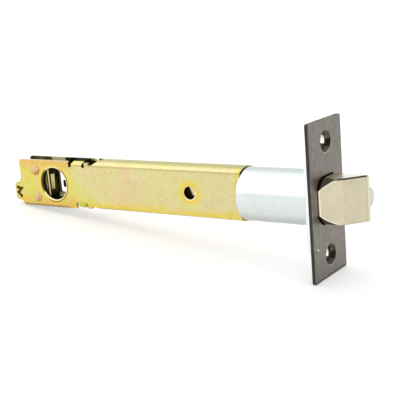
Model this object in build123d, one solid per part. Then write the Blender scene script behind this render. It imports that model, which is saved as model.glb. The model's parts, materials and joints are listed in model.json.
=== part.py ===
from build123d import *
import math
import os

# A spring deadlatch for a 5 inch backset: faceplate, round barrel, bevelled latch bolt with a
# half-round plunger beside it, and a long flat case with the spindle hole near its tail.
# Millimetres. +X is the way the bolt points, +Z runs up the faceplate and +Y crosses the door,
# towards the plunger's side. Lengths along X are counted from the faceplate's front, as a
# backset is, and each piece is saved with the origin in the middle of the faceplate's back.

# Faceplate and the plate behind it
PLATE_WIDTH = 25.4
PLATE_HEIGHT = 57.15
PLATE_THICKNESS = 1.4
PLATE_CORNER = 0.8
PLATE_EDGE = 0.25
SCREW_SPACING = 41.275
SCREW_HOLE = 4.4
SCREW_SINK = 8.0
BACK_WIDTH = 24.2
BACK_MARGIN = 3.46
BACK_THICKNESS = 1.7
BACK_EDGE = 0.35

# Barrel
BARREL_RADIUS = 10.2
BARREL_WALL = 0.6
BARREL_REAR = 32.7
BARREL_EDGE = 0.3

# Latch bolt and its window in the faceplate
BOLT_THROW = 13.8
BOLT_GAP = 0.2
BOLT_FLAT = 1.0
BOLT_NEAR = 8.2
BOLT_FAR = 4.8
BOLT_LENGTH = 24.5
NOSE_WIDTH = 1.6
BEVEL_FOOT = 0.5
BEVEL_CREASE_X = 7.9
BEVEL_CREASE_Y = 3.6
BOLT_EDGE = 0.45
WINDOW_GAP = 0.4

# Plunger beside the bolt
PLUNGER_RADIUS = 3.75
PLUNGER_EDGE = 0.4
PLUNGER_GAP = 0.1
HEEL_INSET = 0.1

# Case: two mirrored half shells, flat sides with rounded top and bottom
CASE_WIDTH = 11.2
CASE_WALL = 1.2
CASE_PROUD = 0.35
CASE_GAP = 0.2
CASE_SEAM = 0.02
CORNER_SLANT = 2.9
TANG_GAP = 0.7
TANG_WALL = 1.0
FIT = 0.05
MATCH = 0.01

# Spindle hole, sight hole and the open tail behind them
BACKSET = 127.0
SPINDLE_HOLE = 14.8
SPINDLE_ROUND = 0.5
ROLL_STEPS = 4
FAR_OPENING = 12.4
FAR_CORNER = 0.8
SIGHT_HOLE = 5.2
SIGHT_HOLE_X = 56.2
TAIL_REACH = 19.4
TAIL_INSET = 0.4
TAIL_STEP = 0.9
TAIL_STEP_Z = 1.2
TAIL_CORNER_CUT = 0.9
FAR_TAIL_EXTRA = 3.0
FAR_TAIL_DROP = 0.5
LUG_REACH = 4.1
LUG_TOP = 0.8
LUG_BOTTOM = 7.6
LUG_ROUND = 1.0
HOOK_SLOT = 1.4
HOOK_FRONT = 0.5
HOOK_MARGIN = 0.8
HOOK_BEND = 2.1
HOOK_START = 1.6
HOOK_DROP = 1.9
HOOK_TILT = 0.6

# Bridges: short stretches of the rounded top and bottom that stand alone in front of the tail
BRIDGE_REACH = 10.9
BRIDGE_LENGTH = 5.8
LOWER_BRIDGE_LENGTH = 3.4
RELIEF_WIDTH = 1.5
RELIEF_DEPTH = 2.9
LOBE_LENGTH = 2.1
LOBE_INSET = 0.85
NOTCH_LENGTH = 2.0
NOTCH_DEPTH = 1.85

# Bearing buttons riveted flush into both sides, which keep the retractor centred
BUTTON_RADIUS = 2.2
BUTTON_FOOT_RADIUS = 2.6
BUTTON_GAP = 0.15
BUTTON_REACH = 10.1
BUTTON_Z = 6.0

# Strips that run the length of the case, one to the bolt and one to the plunger
STRIP_THICKNESS = 1.5
STRIP_GAP = 0.3
STRIP_HALF_HEIGHT = 4.0
STRIP_TAIL_HALF_HEIGHT = 1.45
STRIP_TIP_REACH = 4.2
STRIP_ENTRY = 8.0
LINK_PIN_RADIUS = 1.25
LINK_PIN_INSET = 4.0
BAR_HALF_HEIGHT = 3.0
BAR_ENTRY = 4.0
BAR_OVERRUN = 5.0
BAR_PIN_RADIUS = 1.0
BAR_PIN_INSET = 0.8

# Retractor that the lock's spindle pushes back
RETRACTOR_REACH = 5.0
RETRACTOR_SIDE_GAP = 0.8
RETRACTOR_INSET = 0.6
RETRACTOR_WALL = 1.2
RETRACTOR_DEPTH = 2.6
RETRACTOR_BEND = 1.8
ARM_INSET = 2.65
ARM_HEIGHT = 1.5
RIVET_RADIUS = 0.7
RIVET_REACH = 13.5
HEAD_HALF_LENGTH = 3.0

# Plates across the inside of the case
CARRIER_WALL = 1.1
SPRING_PLATE_INSET = 5.7
SPRING_PLATE_WALL = 1.2
INNER_GAP = 0.15
SLOT_GAP = 0.25

# Springs, and the ears on the strips that they push on
SPRING_Z = 4.9
COIL_GAP = 0.1
BOLT_WIRE = 0.8
BOLT_TURNS = 7
PLUNGER_WIRE = 0.55
PLUNGER_TURNS = 8
EAR_SPACE = 3.7
EAR_WALL = 1.3
EAR_REACH = 2.1
EAR_ROOT = 2.2
SPRING_SEAT_GAP = 0.05
WIRE_SIDES = 6
STEPS_PER_TURN = 12

# Deadlocking lever: its nose drops behind the stop on the strip when the plunger is pushed in
PIVOT_SETBACK = 24.6
PIVOT_RADIUS = 1.0
LEVER_WALL = 1.6
LEVER_HUB = 2.1
HUB_GAP = 0.2
LEVER_ARM_HALF = 1.4
LEVER_REACH = 14.9
LEVER_DROP = 11.0
NOSE_LENGTH = 3.0
NOSE_LIFT = 1.8
STOP_LENGTH = 3.0
STOP_HALF_HEIGHT = 1.1
STOP_GAP = 0.6
TONGUE_GAP = 0.55
TONGUE_WALL = 0.9
CARRIER_EAR_WALL = 0.5
CARRIER_EAR_HALF = 2.8
CARRIER_EAR_MARGIN = 0.45
FOLLOWER_REACH = 7.5
FOLLOWER_RADIUS = 0.9
FOLLOWER_WALL = 0.5
RUN_GAP = 0.04
TORSION_WIRE = 0.35
TORSION_COIL = 1.6
TORSION_TURNS = 2
TORSION_LEG = 5.5
TORSION_HEEL = 2.4

# Sizes and places that follow from those above
BACK_HEIGHT = SCREW_SPACING + 2 * BACK_MARGIN
BARREL_BORE = BARREL_RADIUS - BARREL_WALL
BOLT_RADIUS = BARREL_BORE - BOLT_GAP
BOLT_HALF_HEIGHT = BOLT_RADIUS - BOLT_FLAT
BOLT_REAR = BOLT_LENGTH - BOLT_THROW
CASE_HALF = CASE_WIDTH / 2
CASE_INNER = CASE_HALF - CASE_WALL
CASE_ARC = BARREL_RADIUS + CASE_PROUD
CASE_FRONT = BARREL_REAR + CASE_GAP
CASE_TAIL = BACKSET + TAIL_REACH
TAIL_HALF_HEIGHT = CASE_ARC - TAIL_INSET
BRIDGE_REAR = BACKSET - BRIDGE_REACH
BRIDGE_FRONT = BRIDGE_REAR - BRIDGE_LENGTH
LOWER_BRIDGE_REAR = BRIDGE_FRONT + LOWER_BRIDGE_LENGTH
LOBE_REAR = BRIDGE_FRONT - RELIEF_WIDTH
LOBE_FRONT = LOBE_REAR - LOBE_LENGTH
CASE_CLOSED_END = LOBE_FRONT - NOTCH_LENGTH
RELIEF_BOTTOM = CASE_ARC - RELIEF_DEPTH
NOTCH_BOTTOM = CASE_ARC - NOTCH_DEPTH
LOBE_TOP = CASE_ARC - LOBE_INSET
SPINDLE_BORE = SPINDLE_HOLE / 2 - SPINDLE_ROUND
BUTTON_X = BACKSET + BUTTON_REACH
STRIP_OUTER = CASE_INNER - STRIP_GAP
STRIP_INNER = STRIP_OUTER - STRIP_THICKNESS
STRIP_TIP = BACKSET - STRIP_TIP_REACH
SPRING_PLATE_X = CASE_CLOSED_END - SPRING_PLATE_INSET
BAR_REAR = SPRING_PLATE_X + BAR_OVERRUN
RETRACTOR_FACE = BACKSET + RETRACTOR_REACH
RETRACTOR_WIDTH = 2 * (CASE_INNER - RETRACTOR_SIDE_GAP)
ARM_TOP = CASE_ARC - ARM_INSET
RETRACTOR_HALF_HEIGHT = ARM_TOP - RETRACTOR_INSET
RIVET_X = BACKSET - RIVET_REACH
HEAD_FRONT = RIVET_X - HEAD_HALF_LENGTH
HEAD_REAR = RIVET_X + HEAD_HALF_LENGTH
PIVOT_X = CASE_FRONT + PIVOT_SETBACK
STOP_X = PIVOT_X - LEVER_REACH
FOLLOWER_X = PIVOT_X - FOLLOWER_REACH
TONGUE_TOP = CASE_ARC - CASE_WALL - TONGUE_GAP
PIVOT_Z = TONGUE_TOP - TONGUE_WALL - HUB_GAP - LEVER_HUB
CARRIER_FRONT = CASE_FRONT + CASE_WALL + FIT
CARRIER_REAR = PIVOT_X + CARRIER_EAR_HALF
EAR_X = CARRIER_REAR + EAR_SPACE
NOSE_BOTTOM = STOP_HALF_HEIGHT + NOSE_LIFT
EAR_INNER_Y = LEVER_WALL / 2 + (TORSION_WIRE + RUN_GAP) * (TORSION_TURNS + 1)
EAR_OUTER_Y = EAR_INNER_Y + CARRIER_EAR_WALL


def block(x0, x1, y0, y1, z0, z1):
    size = (x1 - x0, y1 - y0, z1 - z0)
    middle = ((x0 + x1) / 2, (y0 + y1) / 2, (z0 + z1) / 2)
    return Pos(*middle) * Box(*size)


def rod_x(radius, x0, x1, y=0.0, z=0.0):
    return Pos((x0 + x1) / 2, y, z) * Rot(0, 90, 0) * Cylinder(radius, x1 - x0)


def rod_y(radius, y0, y1, x, z):
    return Pos(x, (y0 + y1) / 2, z) * Rot(90, 0, 0) * Cylinder(radius, y1 - y0)


def along_x(sketch, x0, x1):
    # A sketch drawn with its own x as the part's y and its own y as the part's z.
    plane = Plane(origin=(x0, 0, 0), x_dir=(0, 1, 0), z_dir=(1, 0, 0))
    return extrude(plane * sketch, amount=x1 - x0)


def along_y(sketch, y0, y1):
    # A sketch drawn with its own x as the part's x and its own y as the part's z.
    plane = Plane(origin=(0, y1, 0), x_dir=(1, 0, 0), z_dir=(0, -1, 0))
    return extrude(plane * sketch, amount=y1 - y0)


def along_z(sketch, z0, z1):
    return extrude(Pos(0, 0, z0) * sketch, amount=z1 - z0)


def mirrored(shape):
    return mirror(shape, about=Plane.XZ)


def upside_down(shape):
    return mirror(shape, about=Plane.XY)


def save(shape, name):
    export_step(Pos(PLATE_THICKNESS, 0, 0) * shape, "parts/" + name + ".step")


def screw_points():
    return [SCREW_SPACING / 2, -SCREW_SPACING / 2]


def bolt_section(near, far, half_height, radius):
    # The bolt's outline across its length: a circle cut flat on four sides.
    window = Rectangle(near + far, 2 * half_height)
    return Circle(radius) & (Pos((far - near) / 2, 0) * window)


def window_section():
    gap = WINDOW_GAP
    bolt = bolt_section(BOLT_NEAR + gap, BOLT_FAR + gap, BOLT_HALF_HEIGHT + gap, BOLT_RADIUS + gap)
    return bolt + Pos(BOLT_FAR, 0) * Circle(PLUNGER_RADIUS + gap)


def faceplate():
    outline = RectangleRounded(PLATE_WIDTH, PLATE_HEIGHT, PLATE_CORNER)
    plate = along_x(outline, -PLATE_THICKNESS, 0)
    plate = chamfer(plate.faces().sort_by(Axis.X)[-1].outer_wire().edges(), PLATE_EDGE)
    plate -= along_x(window_section(), -PLATE_THICKNESS, 0)
    for z in screw_points():
        plate -= screw_cut(z)
    return plate


def screw_cut(z):
    # A countersunk screw hole through both plates: the cone starts at the front face.
    sink_depth = (SCREW_SINK - SCREW_HOLE) / 2
    cone = Cone(SCREW_HOLE / 2, SCREW_SINK / 2, sink_depth)
    cone = Pos(-sink_depth / 2, 0, z) * Rot(0, 90, 0) * cone
    hole = rod_x(SCREW_HOLE / 2, -PLATE_THICKNESS - BACK_THICKNESS, 0, 0, z)
    return cone + hole


def back_plate():
    outline = SlotOverall(BACK_HEIGHT, BACK_WIDTH, rotation=90)
    rear = -PLATE_THICKNESS - BACK_THICKNESS
    plate = along_x(outline, rear, -PLATE_THICKNESS)
    plate = chamfer(plate.faces().sort_by(Axis.X)[0].outer_wire().edges(), BACK_EDGE)
    plate -= rod_x(BARREL_RADIUS + FIT, rear, -PLATE_THICKNESS)
    for z in screw_points():
        plate -= screw_cut(z)
    return plate


def barrel():
    tube = rod_x(BARREL_RADIUS, -BARREL_REAR, -PLATE_THICKNESS)
    tube -= rod_x(BARREL_BORE, -BARREL_REAR, -PLATE_THICKNESS)
    rear_rim = tube.edges().filter_by(GeomType.CIRCLE).sort_by(Axis.X)[0:2]
    outer = rear_rim.sort_by(SortBy.RADIUS)[-1]
    return chamfer(outer, BARREL_EDGE)


def case_section(inset):
    # The closed outline, drawn in from the outside by the given amount.
    flat = Rectangle(2 * (CASE_HALF - inset), 2 * CASE_ARC)
    return Circle(CASE_ARC - inset) & flat


def case_flank(is_near):
    # The flat side behind the closed stretch, seen square on, with the lug on its tail edge.
    tail = -CASE_TAIL
    high = TAIL_HALF_HEIGHT if is_near else TAIL_HALF_HEIGHT - FAR_TAIL_DROP
    upper_edge = relief_edge(BRIDGE_REAR, high)
    lower_edge = [(x, -z) for x, z in reversed(relief_edge(LOWER_BRIDGE_REAR, high))]
    near_tail = [
        (tail + TAIL_CORNER_CUT, high),
        (tail, high - TAIL_CORNER_CUT),
        (tail, TAIL_STEP_Z),
        (tail - TAIL_STEP, TAIL_STEP_Z),
        (tail - TAIL_STEP, -LUG_TOP),
        (tail - LUG_REACH, -LUG_TOP),
        (tail - LUG_REACH, -LUG_BOTTOM),
        (tail, -LUG_BOTTOM - LUG_ROUND),
        (tail, TAIL_CORNER_CUT - high),
        (tail + TAIL_CORNER_CUT, -high),
    ]
    far_tail = [
        (tail - FAR_TAIL_EXTRA + TAIL_CORNER_CUT, high),
        (tail - FAR_TAIL_EXTRA, high - TAIL_CORNER_CUT),
        (tail - FAR_TAIL_EXTRA, TAIL_CORNER_CUT - high),
        (tail - FAR_TAIL_EXTRA + TAIL_CORNER_CUT, -high),
    ]
    rear = near_tail if is_near else far_tail
    return make_face(Polyline(*upper_edge, *rear, *lower_edge, close=True))


def relief_edge(bridge_rear, tail_height):
    # The top edge of the flat side from the closed stretch back to the tail: notch, lobe, relief
    # cut, bridge, relief cut. The bottom edge is the same with a shorter bridge.
    relief_rear = -bridge_rear - RELIEF_WIDTH
    return [
        (-CASE_CLOSED_END, NOTCH_BOTTOM),
        (-LOBE_FRONT, NOTCH_BOTTOM),
        (-LOBE_FRONT, LOBE_TOP),
        (-LOBE_REAR, LOBE_TOP),
        (-LOBE_REAR, RELIEF_BOTTOM),
        (relief_rear, RELIEF_BOTTOM),
        (relief_rear, tail_height),
    ]


def half_side():
    # Everything on the near side of the seam, across the width of the case.
    return Pos(-CASE_ARC, 0) * Rectangle(2 * (CASE_ARC - CASE_SEAM), 4 * CASE_ARC)


def case_half(is_near):
    # One half shell, built on the near side, y below zero; the far one is mirrored when saved.
    wall = (case_section(0) - case_section(CASE_WALL)) & half_side()
    upper = Pos(0, CASE_ARC) * Rectangle(2 * CASE_WIDTH, 2 * CASE_ARC)
    shell = along_x(wall, -CASE_CLOSED_END, -CASE_FRONT)
    shell += along_x(wall & upper, -BRIDGE_REAR, -BRIDGE_FRONT)
    shell += along_x(wall - upper, -LOWER_BRIDGE_REAR, -BRIDGE_FRONT)
    shell += along_y(case_flank(is_near), -CASE_HALF, -CASE_INNER)
    shell -= slanted_corner()
    shell -= upside_down(slanted_corner())
    if is_near:
        shell -= hook_slot()
        shell -= rolled_hole()
        shell -= rod_y(SIGHT_HOLE / 2, -CASE_HALF, -CASE_INNER, -SIGHT_HOLE_X, 0)
    else:
        opening = Pos(-BACKSET, 0) * RectangleRounded(FAR_OPENING, FAR_OPENING, FAR_CORNER)
        shell -= along_y(opening, -CASE_HALF, -CASE_INNER)
        shell += tail_strap()
    for z in (BUTTON_Z, -BUTTON_Z):
        shell -= rod_y(BUTTON_RADIUS, -CASE_HALF, -CASE_INNER, -BUTTON_X, z)
    return shell + tang()


def tail_strap():
    # A strap from the far side, still drawn on the near side: it wraps the tail behind the lug.
    rear = -CASE_TAIL - LUG_REACH
    across = CASE_INNER - FIT
    strap = block(rear, rear + CASE_WALL, -CASE_HALF, across, -LUG_BOTTOM, -LUG_TOP)
    root = block(rear, -CASE_TAIL - FAR_TAIL_EXTRA, -CASE_HALF, -CASE_INNER, -LUG_BOTTOM, -LUG_TOP)
    return strap + root


def slanted_corner():
    # The closed stretch ends on a slant where it rolls over the top.
    rear = -CASE_CLOSED_END
    triangle = make_face(Polyline((rear, 0), (rear, -CASE_HALF), (rear + CORNER_SLANT, 0), close=True))
    return along_z(triangle, NOTCH_BOTTOM, CASE_ARC)


def hook_slot():
    # A slit in the lug, bent twice.
    rear = -CASE_TAIL - LUG_REACH + HOOK_MARGIN
    front = -CASE_TAIL - HOOK_FRONT
    start = -LUG_TOP - HOOK_START
    first = start - HOOK_TILT
    second = first - HOOK_DROP
    end = second - HOOK_DROP
    path = Polyline((rear, start), (front, first), (front - HOOK_BEND, second), (front, end))
    line = trace(path, HOOK_SLOT)
    return along_y(line, -CASE_HALF, -CASE_INNER)


def rolled_hole():
    # The cutter for the spindle hole: a straight bore whose outer edge is rolled inwards.
    profile = [(0, -CASE_INNER), (0, -CASE_HALF)]
    for step in range(ROLL_STEPS + 1):
        angle = math.radians(90) * step / ROLL_STEPS
        r = SPINDLE_HOLE / 2 - SPINDLE_ROUND * math.sin(angle)
        y = -CASE_HALF + SPINDLE_ROUND - SPINDLE_ROUND * math.cos(angle)
        profile.append((r, y))
    profile.append((SPINDLE_BORE, -CASE_INNER))
    cutter = revolve(make_face(Polyline(*profile, close=True)), axis=Axis.Y)
    return Pos(-BACKSET, 0, 0) * cutter


def tang():
    # The narrowed front of the half shell, held inside the barrel.
    radius = BARREL_BORE - FIT
    outer = Circle(radius) & Rectangle(CASE_WIDTH, 2 * radius)
    inner = Circle(radius - TANG_WALL) & Rectangle(CASE_WIDTH - 2 * TANG_WALL, 2 * radius)
    side = half_side()
    rear = -CASE_FRONT - CASE_WALL
    front = -BOLT_LENGTH - TANG_GAP
    sleeve = along_x((outer - inner) & side, rear, front)
    step = case_section(0) & side
    step = along_x(step - inner, rear, -CASE_FRONT)
    return sleeve + step


def guide_button():
    # A stepped button, near side: its shank is riveted flush with the outside of the case.
    foot = -RETRACTOR_WIDTH / 2 - BUTTON_GAP
    shank = rod_y(BUTTON_RADIUS, -CASE_HALF, foot, -BUTTON_X, BUTTON_Z)
    return shank + rod_y(BUTTON_FOOT_RADIUS, -CASE_INNER, foot, -BUTTON_X, BUTTON_Z)


def latch_bolt():
    tip = BOLT_THROW
    section = bolt_section(BOLT_NEAR, BOLT_FAR, BOLT_HALF_HEIGHT, BOLT_RADIUS)
    body = along_x(section, -BOLT_REAR, tip)
    bevel = [
        (BEVEL_FOOT, -BOLT_NEAR),
        (BEVEL_CREASE_X, -BEVEL_CREASE_Y),
        (tip, BOLT_FAR - NOSE_WIDTH),
        (tip, -BOLT_RADIUS),
        (BEVEL_FOOT, -BOLT_RADIUS),
    ]
    waste = make_face(Polyline(*bevel, close=True))
    body -= along_z(waste, -BOLT_RADIUS, BOLT_RADIUS)
    ends = [
        edge
        for edge in body.edges().filter_by(GeomType.LINE)
        if abs(abs(edge.center().Z) - BOLT_HALF_HEIGHT) < MATCH
        and edge.center().X > BEVEL_FOOT
        and edge.center().Y < BOLT_FAR - NOSE_WIDTH
    ]
    body = chamfer(ends, BOLT_EDGE)
    slot = block(
        -BOLT_REAR,
        -BOLT_REAR + STRIP_ENTRY + FIT,
        -STRIP_OUTER - FIT,
        -STRIP_INNER + FIT,
        -STRIP_HALF_HEIGHT - FIT,
        STRIP_HALF_HEIGHT + FIT,
    )
    groove_end = -BOLT_REAR + BOLT_THROW + BAR_ENTRY + SLOT_GAP
    groove_half = BAR_HALF_HEIGHT + SLOT_GAP
    groove = block(-BOLT_REAR, groove_end, STRIP_INNER - SLOT_GAP, BOLT_FAR, -groove_half, groove_half)
    return body - slot - groove - link_pin()


def link_pin():
    # The cross pin that joins the strip to the bolt, its end just inside the bolt's near flat.
    return rod_y(LINK_PIN_RADIUS, -BOLT_NEAR + FIT, 0, -BOLT_REAR + LINK_PIN_INSET, 0)


def link_bar():
    # The long strip behind the bolt, along the near wall.
    front = -BOLT_REAR + STRIP_ENTRY
    outline = [
        (front, STRIP_HALF_HEIGHT),
        (front, -STRIP_HALF_HEIGHT),
        (-HEAD_FRONT, -STRIP_HALF_HEIGHT),
        (-HEAD_FRONT, -ARM_TOP),
        (-HEAD_REAR, -ARM_TOP),
        (-HEAD_REAR, -STRIP_TAIL_HALF_HEIGHT),
        (-STRIP_TIP, -STRIP_TAIL_HALF_HEIGHT),
        (-STRIP_TIP, STRIP_TAIL_HALF_HEIGHT),
        (-HEAD_REAR, STRIP_TAIL_HALF_HEIGHT),
        (-HEAD_REAR, ARM_TOP),
        (-HEAD_FRONT, ARM_TOP),
        (-HEAD_FRONT, STRIP_HALF_HEIGHT),
    ]
    strip = along_y(make_face(Polyline(*outline, close=True)), -STRIP_OUTER, -STRIP_INNER)
    strip += upside_down(mirrored(spring_ear()))
    stop_front = -STOP_X + STOP_LENGTH
    strip += block(
        -STOP_X, stop_front, -STRIP_OUTER, LEVER_WALL / 2, -STOP_HALF_HEIGHT, STOP_HALF_HEIGHT
    )
    strip -= link_pin()
    for z in (rivet_z(), -rivet_z()):
        strip -= rod_y(RIVET_RADIUS, -STRIP_OUTER, -STRIP_INNER, -RIVET_X, z)
    return strip


def spring_ear():
    # The ear on a strip that its spring pushes on: here the plunger's, above and on the far side.
    low = SPRING_Z - EAR_ROOT
    high = SPRING_Z + EAR_REACH
    return block(-EAR_X, -EAR_X + EAR_WALL, -EAR_REACH, STRIP_OUTER, low, high)


def rivet_z():
    return ARM_TOP - ARM_HEIGHT / 2


def retractor():
    # A channel open to the rear, with an arm above and below the spindle hole.
    half = RETRACTOR_WIDTH / 2
    face = -RETRACTOR_FACE
    rear = face - RETRACTOR_DEPTH
    outer = make_face(Polyline((face, -half), (face, half), (rear, half), (rear, -half), close=True))
    bends = outer.vertices().sort_by(Axis.X)[2:4]
    outer = fillet(bends, RETRACTOR_BEND)
    wall = RETRACTOR_WALL
    inside = half - wall
    inner = [(face - wall, -inside), (face - wall, inside), (rear, inside), (rear, -inside)]
    inner = make_face(Polyline(*inner, close=True))
    inner = fillet(inner.vertices().sort_by(Axis.X)[2:4], RETRACTOR_BEND - wall)
    channel = along_z(outer - inner, -RETRACTOR_HALF_HEIGHT, RETRACTOR_HALF_HEIGHT)
    for side in (1, -1):
        z0 = ARM_TOP - ARM_HEIGHT
        arm = block(face - wall, -HEAD_FRONT, -STRIP_INNER, -STRIP_INNER + STRIP_THICKNESS, z0, ARM_TOP)
        arm -= rod_y(RIVET_RADIUS, -STRIP_INNER, -STRIP_INNER + STRIP_THICKNESS, -RIVET_X, rivet_z())
        channel += arm if side > 0 else upside_down(arm)
    return channel


def retractor_rivet():
    return rod_y(RIVET_RADIUS, -STRIP_OUTER, -STRIP_INNER + STRIP_THICKNESS, -RIVET_X, rivet_z())


def plunger():
    # A half-round bar that slides on the bolt's flat, with a heel that reaches in to its strip.
    beside = Pos(PLUNGER_RADIUS, 0) * Rectangle(2 * PLUNGER_RADIUS, 2 * PLUNGER_RADIUS)
    section = Circle(PLUNGER_RADIUS) & beside
    flat = BOLT_FAR + PLUNGER_GAP
    body = along_x(Pos(flat, 0) * section, -BOLT_REAR, BOLT_THROW)
    nose = body.faces().sort_by(Axis.X)[-1].edges().filter_by(GeomType.CIRCLE)
    body = chamfer(nose, PLUNGER_EDGE)
    half = BAR_HALF_HEIGHT - HEEL_INSET
    body += block(-BOLT_REAR, -BOLT_REAR + BAR_ENTRY, STRIP_OUTER, flat, -half, half)
    return body - plunger_pin()


def plunger_pin():
    # The pin that joins the plunger to its bar.
    x = -BOLT_REAR + BAR_ENTRY / 2
    crown = BOLT_FAR + PLUNGER_GAP + PLUNGER_RADIUS
    return rod_y(BAR_PIN_RADIUS, STRIP_INNER, crown - BAR_PIN_INSET, x, 0)


def lever_swing():
    return math.radians(LEVER_DROP)


def ramp_drop():
    # How far the lever's follower falls over the plunger's whole travel.
    return (PIVOT_X - FOLLOWER_X) * math.sin(lever_swing())


def plunger_bar():
    # The long strip behind the plunger, along the far wall. The ramp in its top edge carries the
    # lever's follower.
    front = -BOLT_REAR + BAR_ENTRY
    high = BAR_HALF_HEIGHT
    ramp_front = -FOLLOWER_X + BOLT_THROW
    outline = [
        (-BAR_REAR, -high),
        (front, -high),
        (front, high),
        (ramp_front + FOLLOWER_RADIUS, high),
        (ramp_front + FOLLOWER_RADIUS, high - ramp_drop()),
        (ramp_front, high - ramp_drop()),
        (-FOLLOWER_X, high),
        (-BAR_REAR, high),
    ]
    bar = along_y(make_face(Polyline(*outline, close=True)), STRIP_INNER, STRIP_OUTER)
    bar += spring_ear()
    return bar - plunger_pin()


def inner_section():
    return case_section(CASE_WALL + INNER_GAP)


def strip_window(half_height, x0, x1):
    half = half_height + SLOT_GAP
    return block(x0, x1, STRIP_INNER - SLOT_GAP, CASE_INNER, -half, half)


def lever_carrier():
    # A plate across the front of the case with a tongue along the top and two ears for the pivot.
    front = -CARRIER_FRONT
    rear = front - CARRIER_WALL
    plate = along_x(inner_section(), rear, front)
    plate -= strip_window(BAR_HALF_HEIGHT, rear, front)
    plate -= mirrored(strip_window(STRIP_HALF_HEIGHT, rear, front))
    plate += block(-CARRIER_REAR, front, -EAR_OUTER_Y, EAR_OUTER_Y, TONGUE_TOP - TONGUE_WALL, TONGUE_TOP)
    ear = block(
        -CARRIER_REAR,
        -PIVOT_X + CARRIER_EAR_HALF,
        EAR_INNER_Y,
        EAR_OUTER_Y,
        PIVOT_Z - PIVOT_RADIUS - CARRIER_EAR_MARGIN,
        TONGUE_TOP,
    )
    plate += ear + mirrored(ear)
    return plate - pivot_pin()


def pivot_pin():
    return rod_y(PIVOT_RADIUS, -EAR_OUTER_Y, EAR_OUTER_Y, -PIVOT_X, PIVOT_Z)


def spring_plate():
    # The wall that both springs push back against.
    front = -SPRING_PLATE_X
    rear = front - SPRING_PLATE_WALL
    plate = along_x(inner_section(), rear, front)
    plate -= strip_window(BAR_HALF_HEIGHT, rear, front)
    plate -= mirrored(strip_window(STRIP_HALF_HEIGHT, rear, front))
    return plate


def wire_coil(radius, wire, turns, length):
    # A coil round Z, drawn as short straight lengths of wire.
    steps = round(turns * STEPS_PER_TURN)
    points = []
    for step in range(steps + 1):
        angle = 2 * math.pi * step / STEPS_PER_TURN
        points.append((radius * math.cos(angle), radius * math.sin(angle), length * step / steps))
    path = Polyline(*points)
    section = Plane(origin=path @ 0, z_dir=path % 0) * RegularPolygon(wire / 2, WIRE_SIDES)
    return sweep(section, path=path, transition=Transition.RIGHT)


def strip_spring(wire, turns, z):
    # A coil that just fits between the two strips.
    length = SPRING_PLATE_X - EAR_X - 2 * SPRING_SEAT_GAP - wire
    radius = STRIP_INNER - COIL_GAP - wire / 2
    coil = wire_coil(radius, wire, turns, length)
    return Pos(-EAR_X - SPRING_SEAT_GAP - wire / 2, 0, z) * Rot(0, -90, 0) * coil


def deadlock_lever():
    # Drawn at rest: the follower pin sits on the high end of the plunger bar's ramp.
    half = LEVER_WALL / 2
    nose_front = -STOP_X - STOP_GAP
    nose_rear = nose_front - NOSE_LENGTH
    arm_top = PIVOT_Z + LEVER_ARM_HALF
    arm_bottom = PIVOT_Z - LEVER_ARM_HALF
    outline = [
        (-PIVOT_X, arm_top),
        (nose_front - NOSE_LENGTH / 2, arm_top),
        (nose_front, PIVOT_Z),
        (nose_front, NOSE_BOTTOM),
        (nose_rear, NOSE_BOTTOM),
        (nose_rear, arm_bottom),
        (-PIVOT_X, arm_bottom),
    ]
    lever = along_y(make_face(Polyline(*outline, close=True)), -half, half)
    lever += rod_y(LEVER_HUB, -half, half, -PIVOT_X, PIVOT_Z)
    boss = FOLLOWER_RADIUS + FOLLOWER_WALL
    lever += rod_y(boss, -half, half, -FOLLOWER_X, follower_z())
    lever += block(-FOLLOWER_X - boss, -FOLLOWER_X + boss, -half, half, follower_z(), PIVOT_Z)
    lever -= rod_y(PIVOT_RADIUS + RUN_GAP, -half, half, -PIVOT_X, PIVOT_Z)
    return lever - follower_pin()


def follower_z():
    return BAR_HALF_HEIGHT + RUN_GAP + FOLLOWER_RADIUS


def follower_pin():
    return rod_y(FOLLOWER_RADIUS, -LEVER_WALL / 2, STRIP_OUTER - FIT, -FOLLOWER_X, follower_z())


def lever_spring():
    # Two turns round the pivot, one leg under the tongue and one on the lever's arm.
    length = (TORSION_WIRE + RUN_GAP) * TORSION_TURNS
    coil = wire_coil(TORSION_COIL, TORSION_WIRE, TORSION_TURNS, length)
    start = LEVER_WALL / 2 + TORSION_WIRE / 2 + RUN_GAP
    coil = Pos(-PIVOT_X, start, PIVOT_Z) * Rot(-90, 0, 0) * coil
    wire = TORSION_WIRE / 2
    top = PIVOT_Z + TORSION_COIL
    leg = rod_x(wire, -PIVOT_X, -PIVOT_X + TORSION_LEG, start, top)
    hook = rod_y(wire, 0, start + wire, -PIVOT_X + TORSION_LEG - wire, top)
    end = start + length
    heel = rod_x(wire, -PIVOT_X - TORSION_HEEL, -PIVOT_X, end, top)
    rise = TONGUE_TOP - TONGUE_WALL - RUN_GAP - top
    prop = Pos(-PIVOT_X - TORSION_HEEL + wire, end, top + rise / 2) * Cylinder(wire, rise)
    return coil + leg + hook + heel + prop


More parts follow.
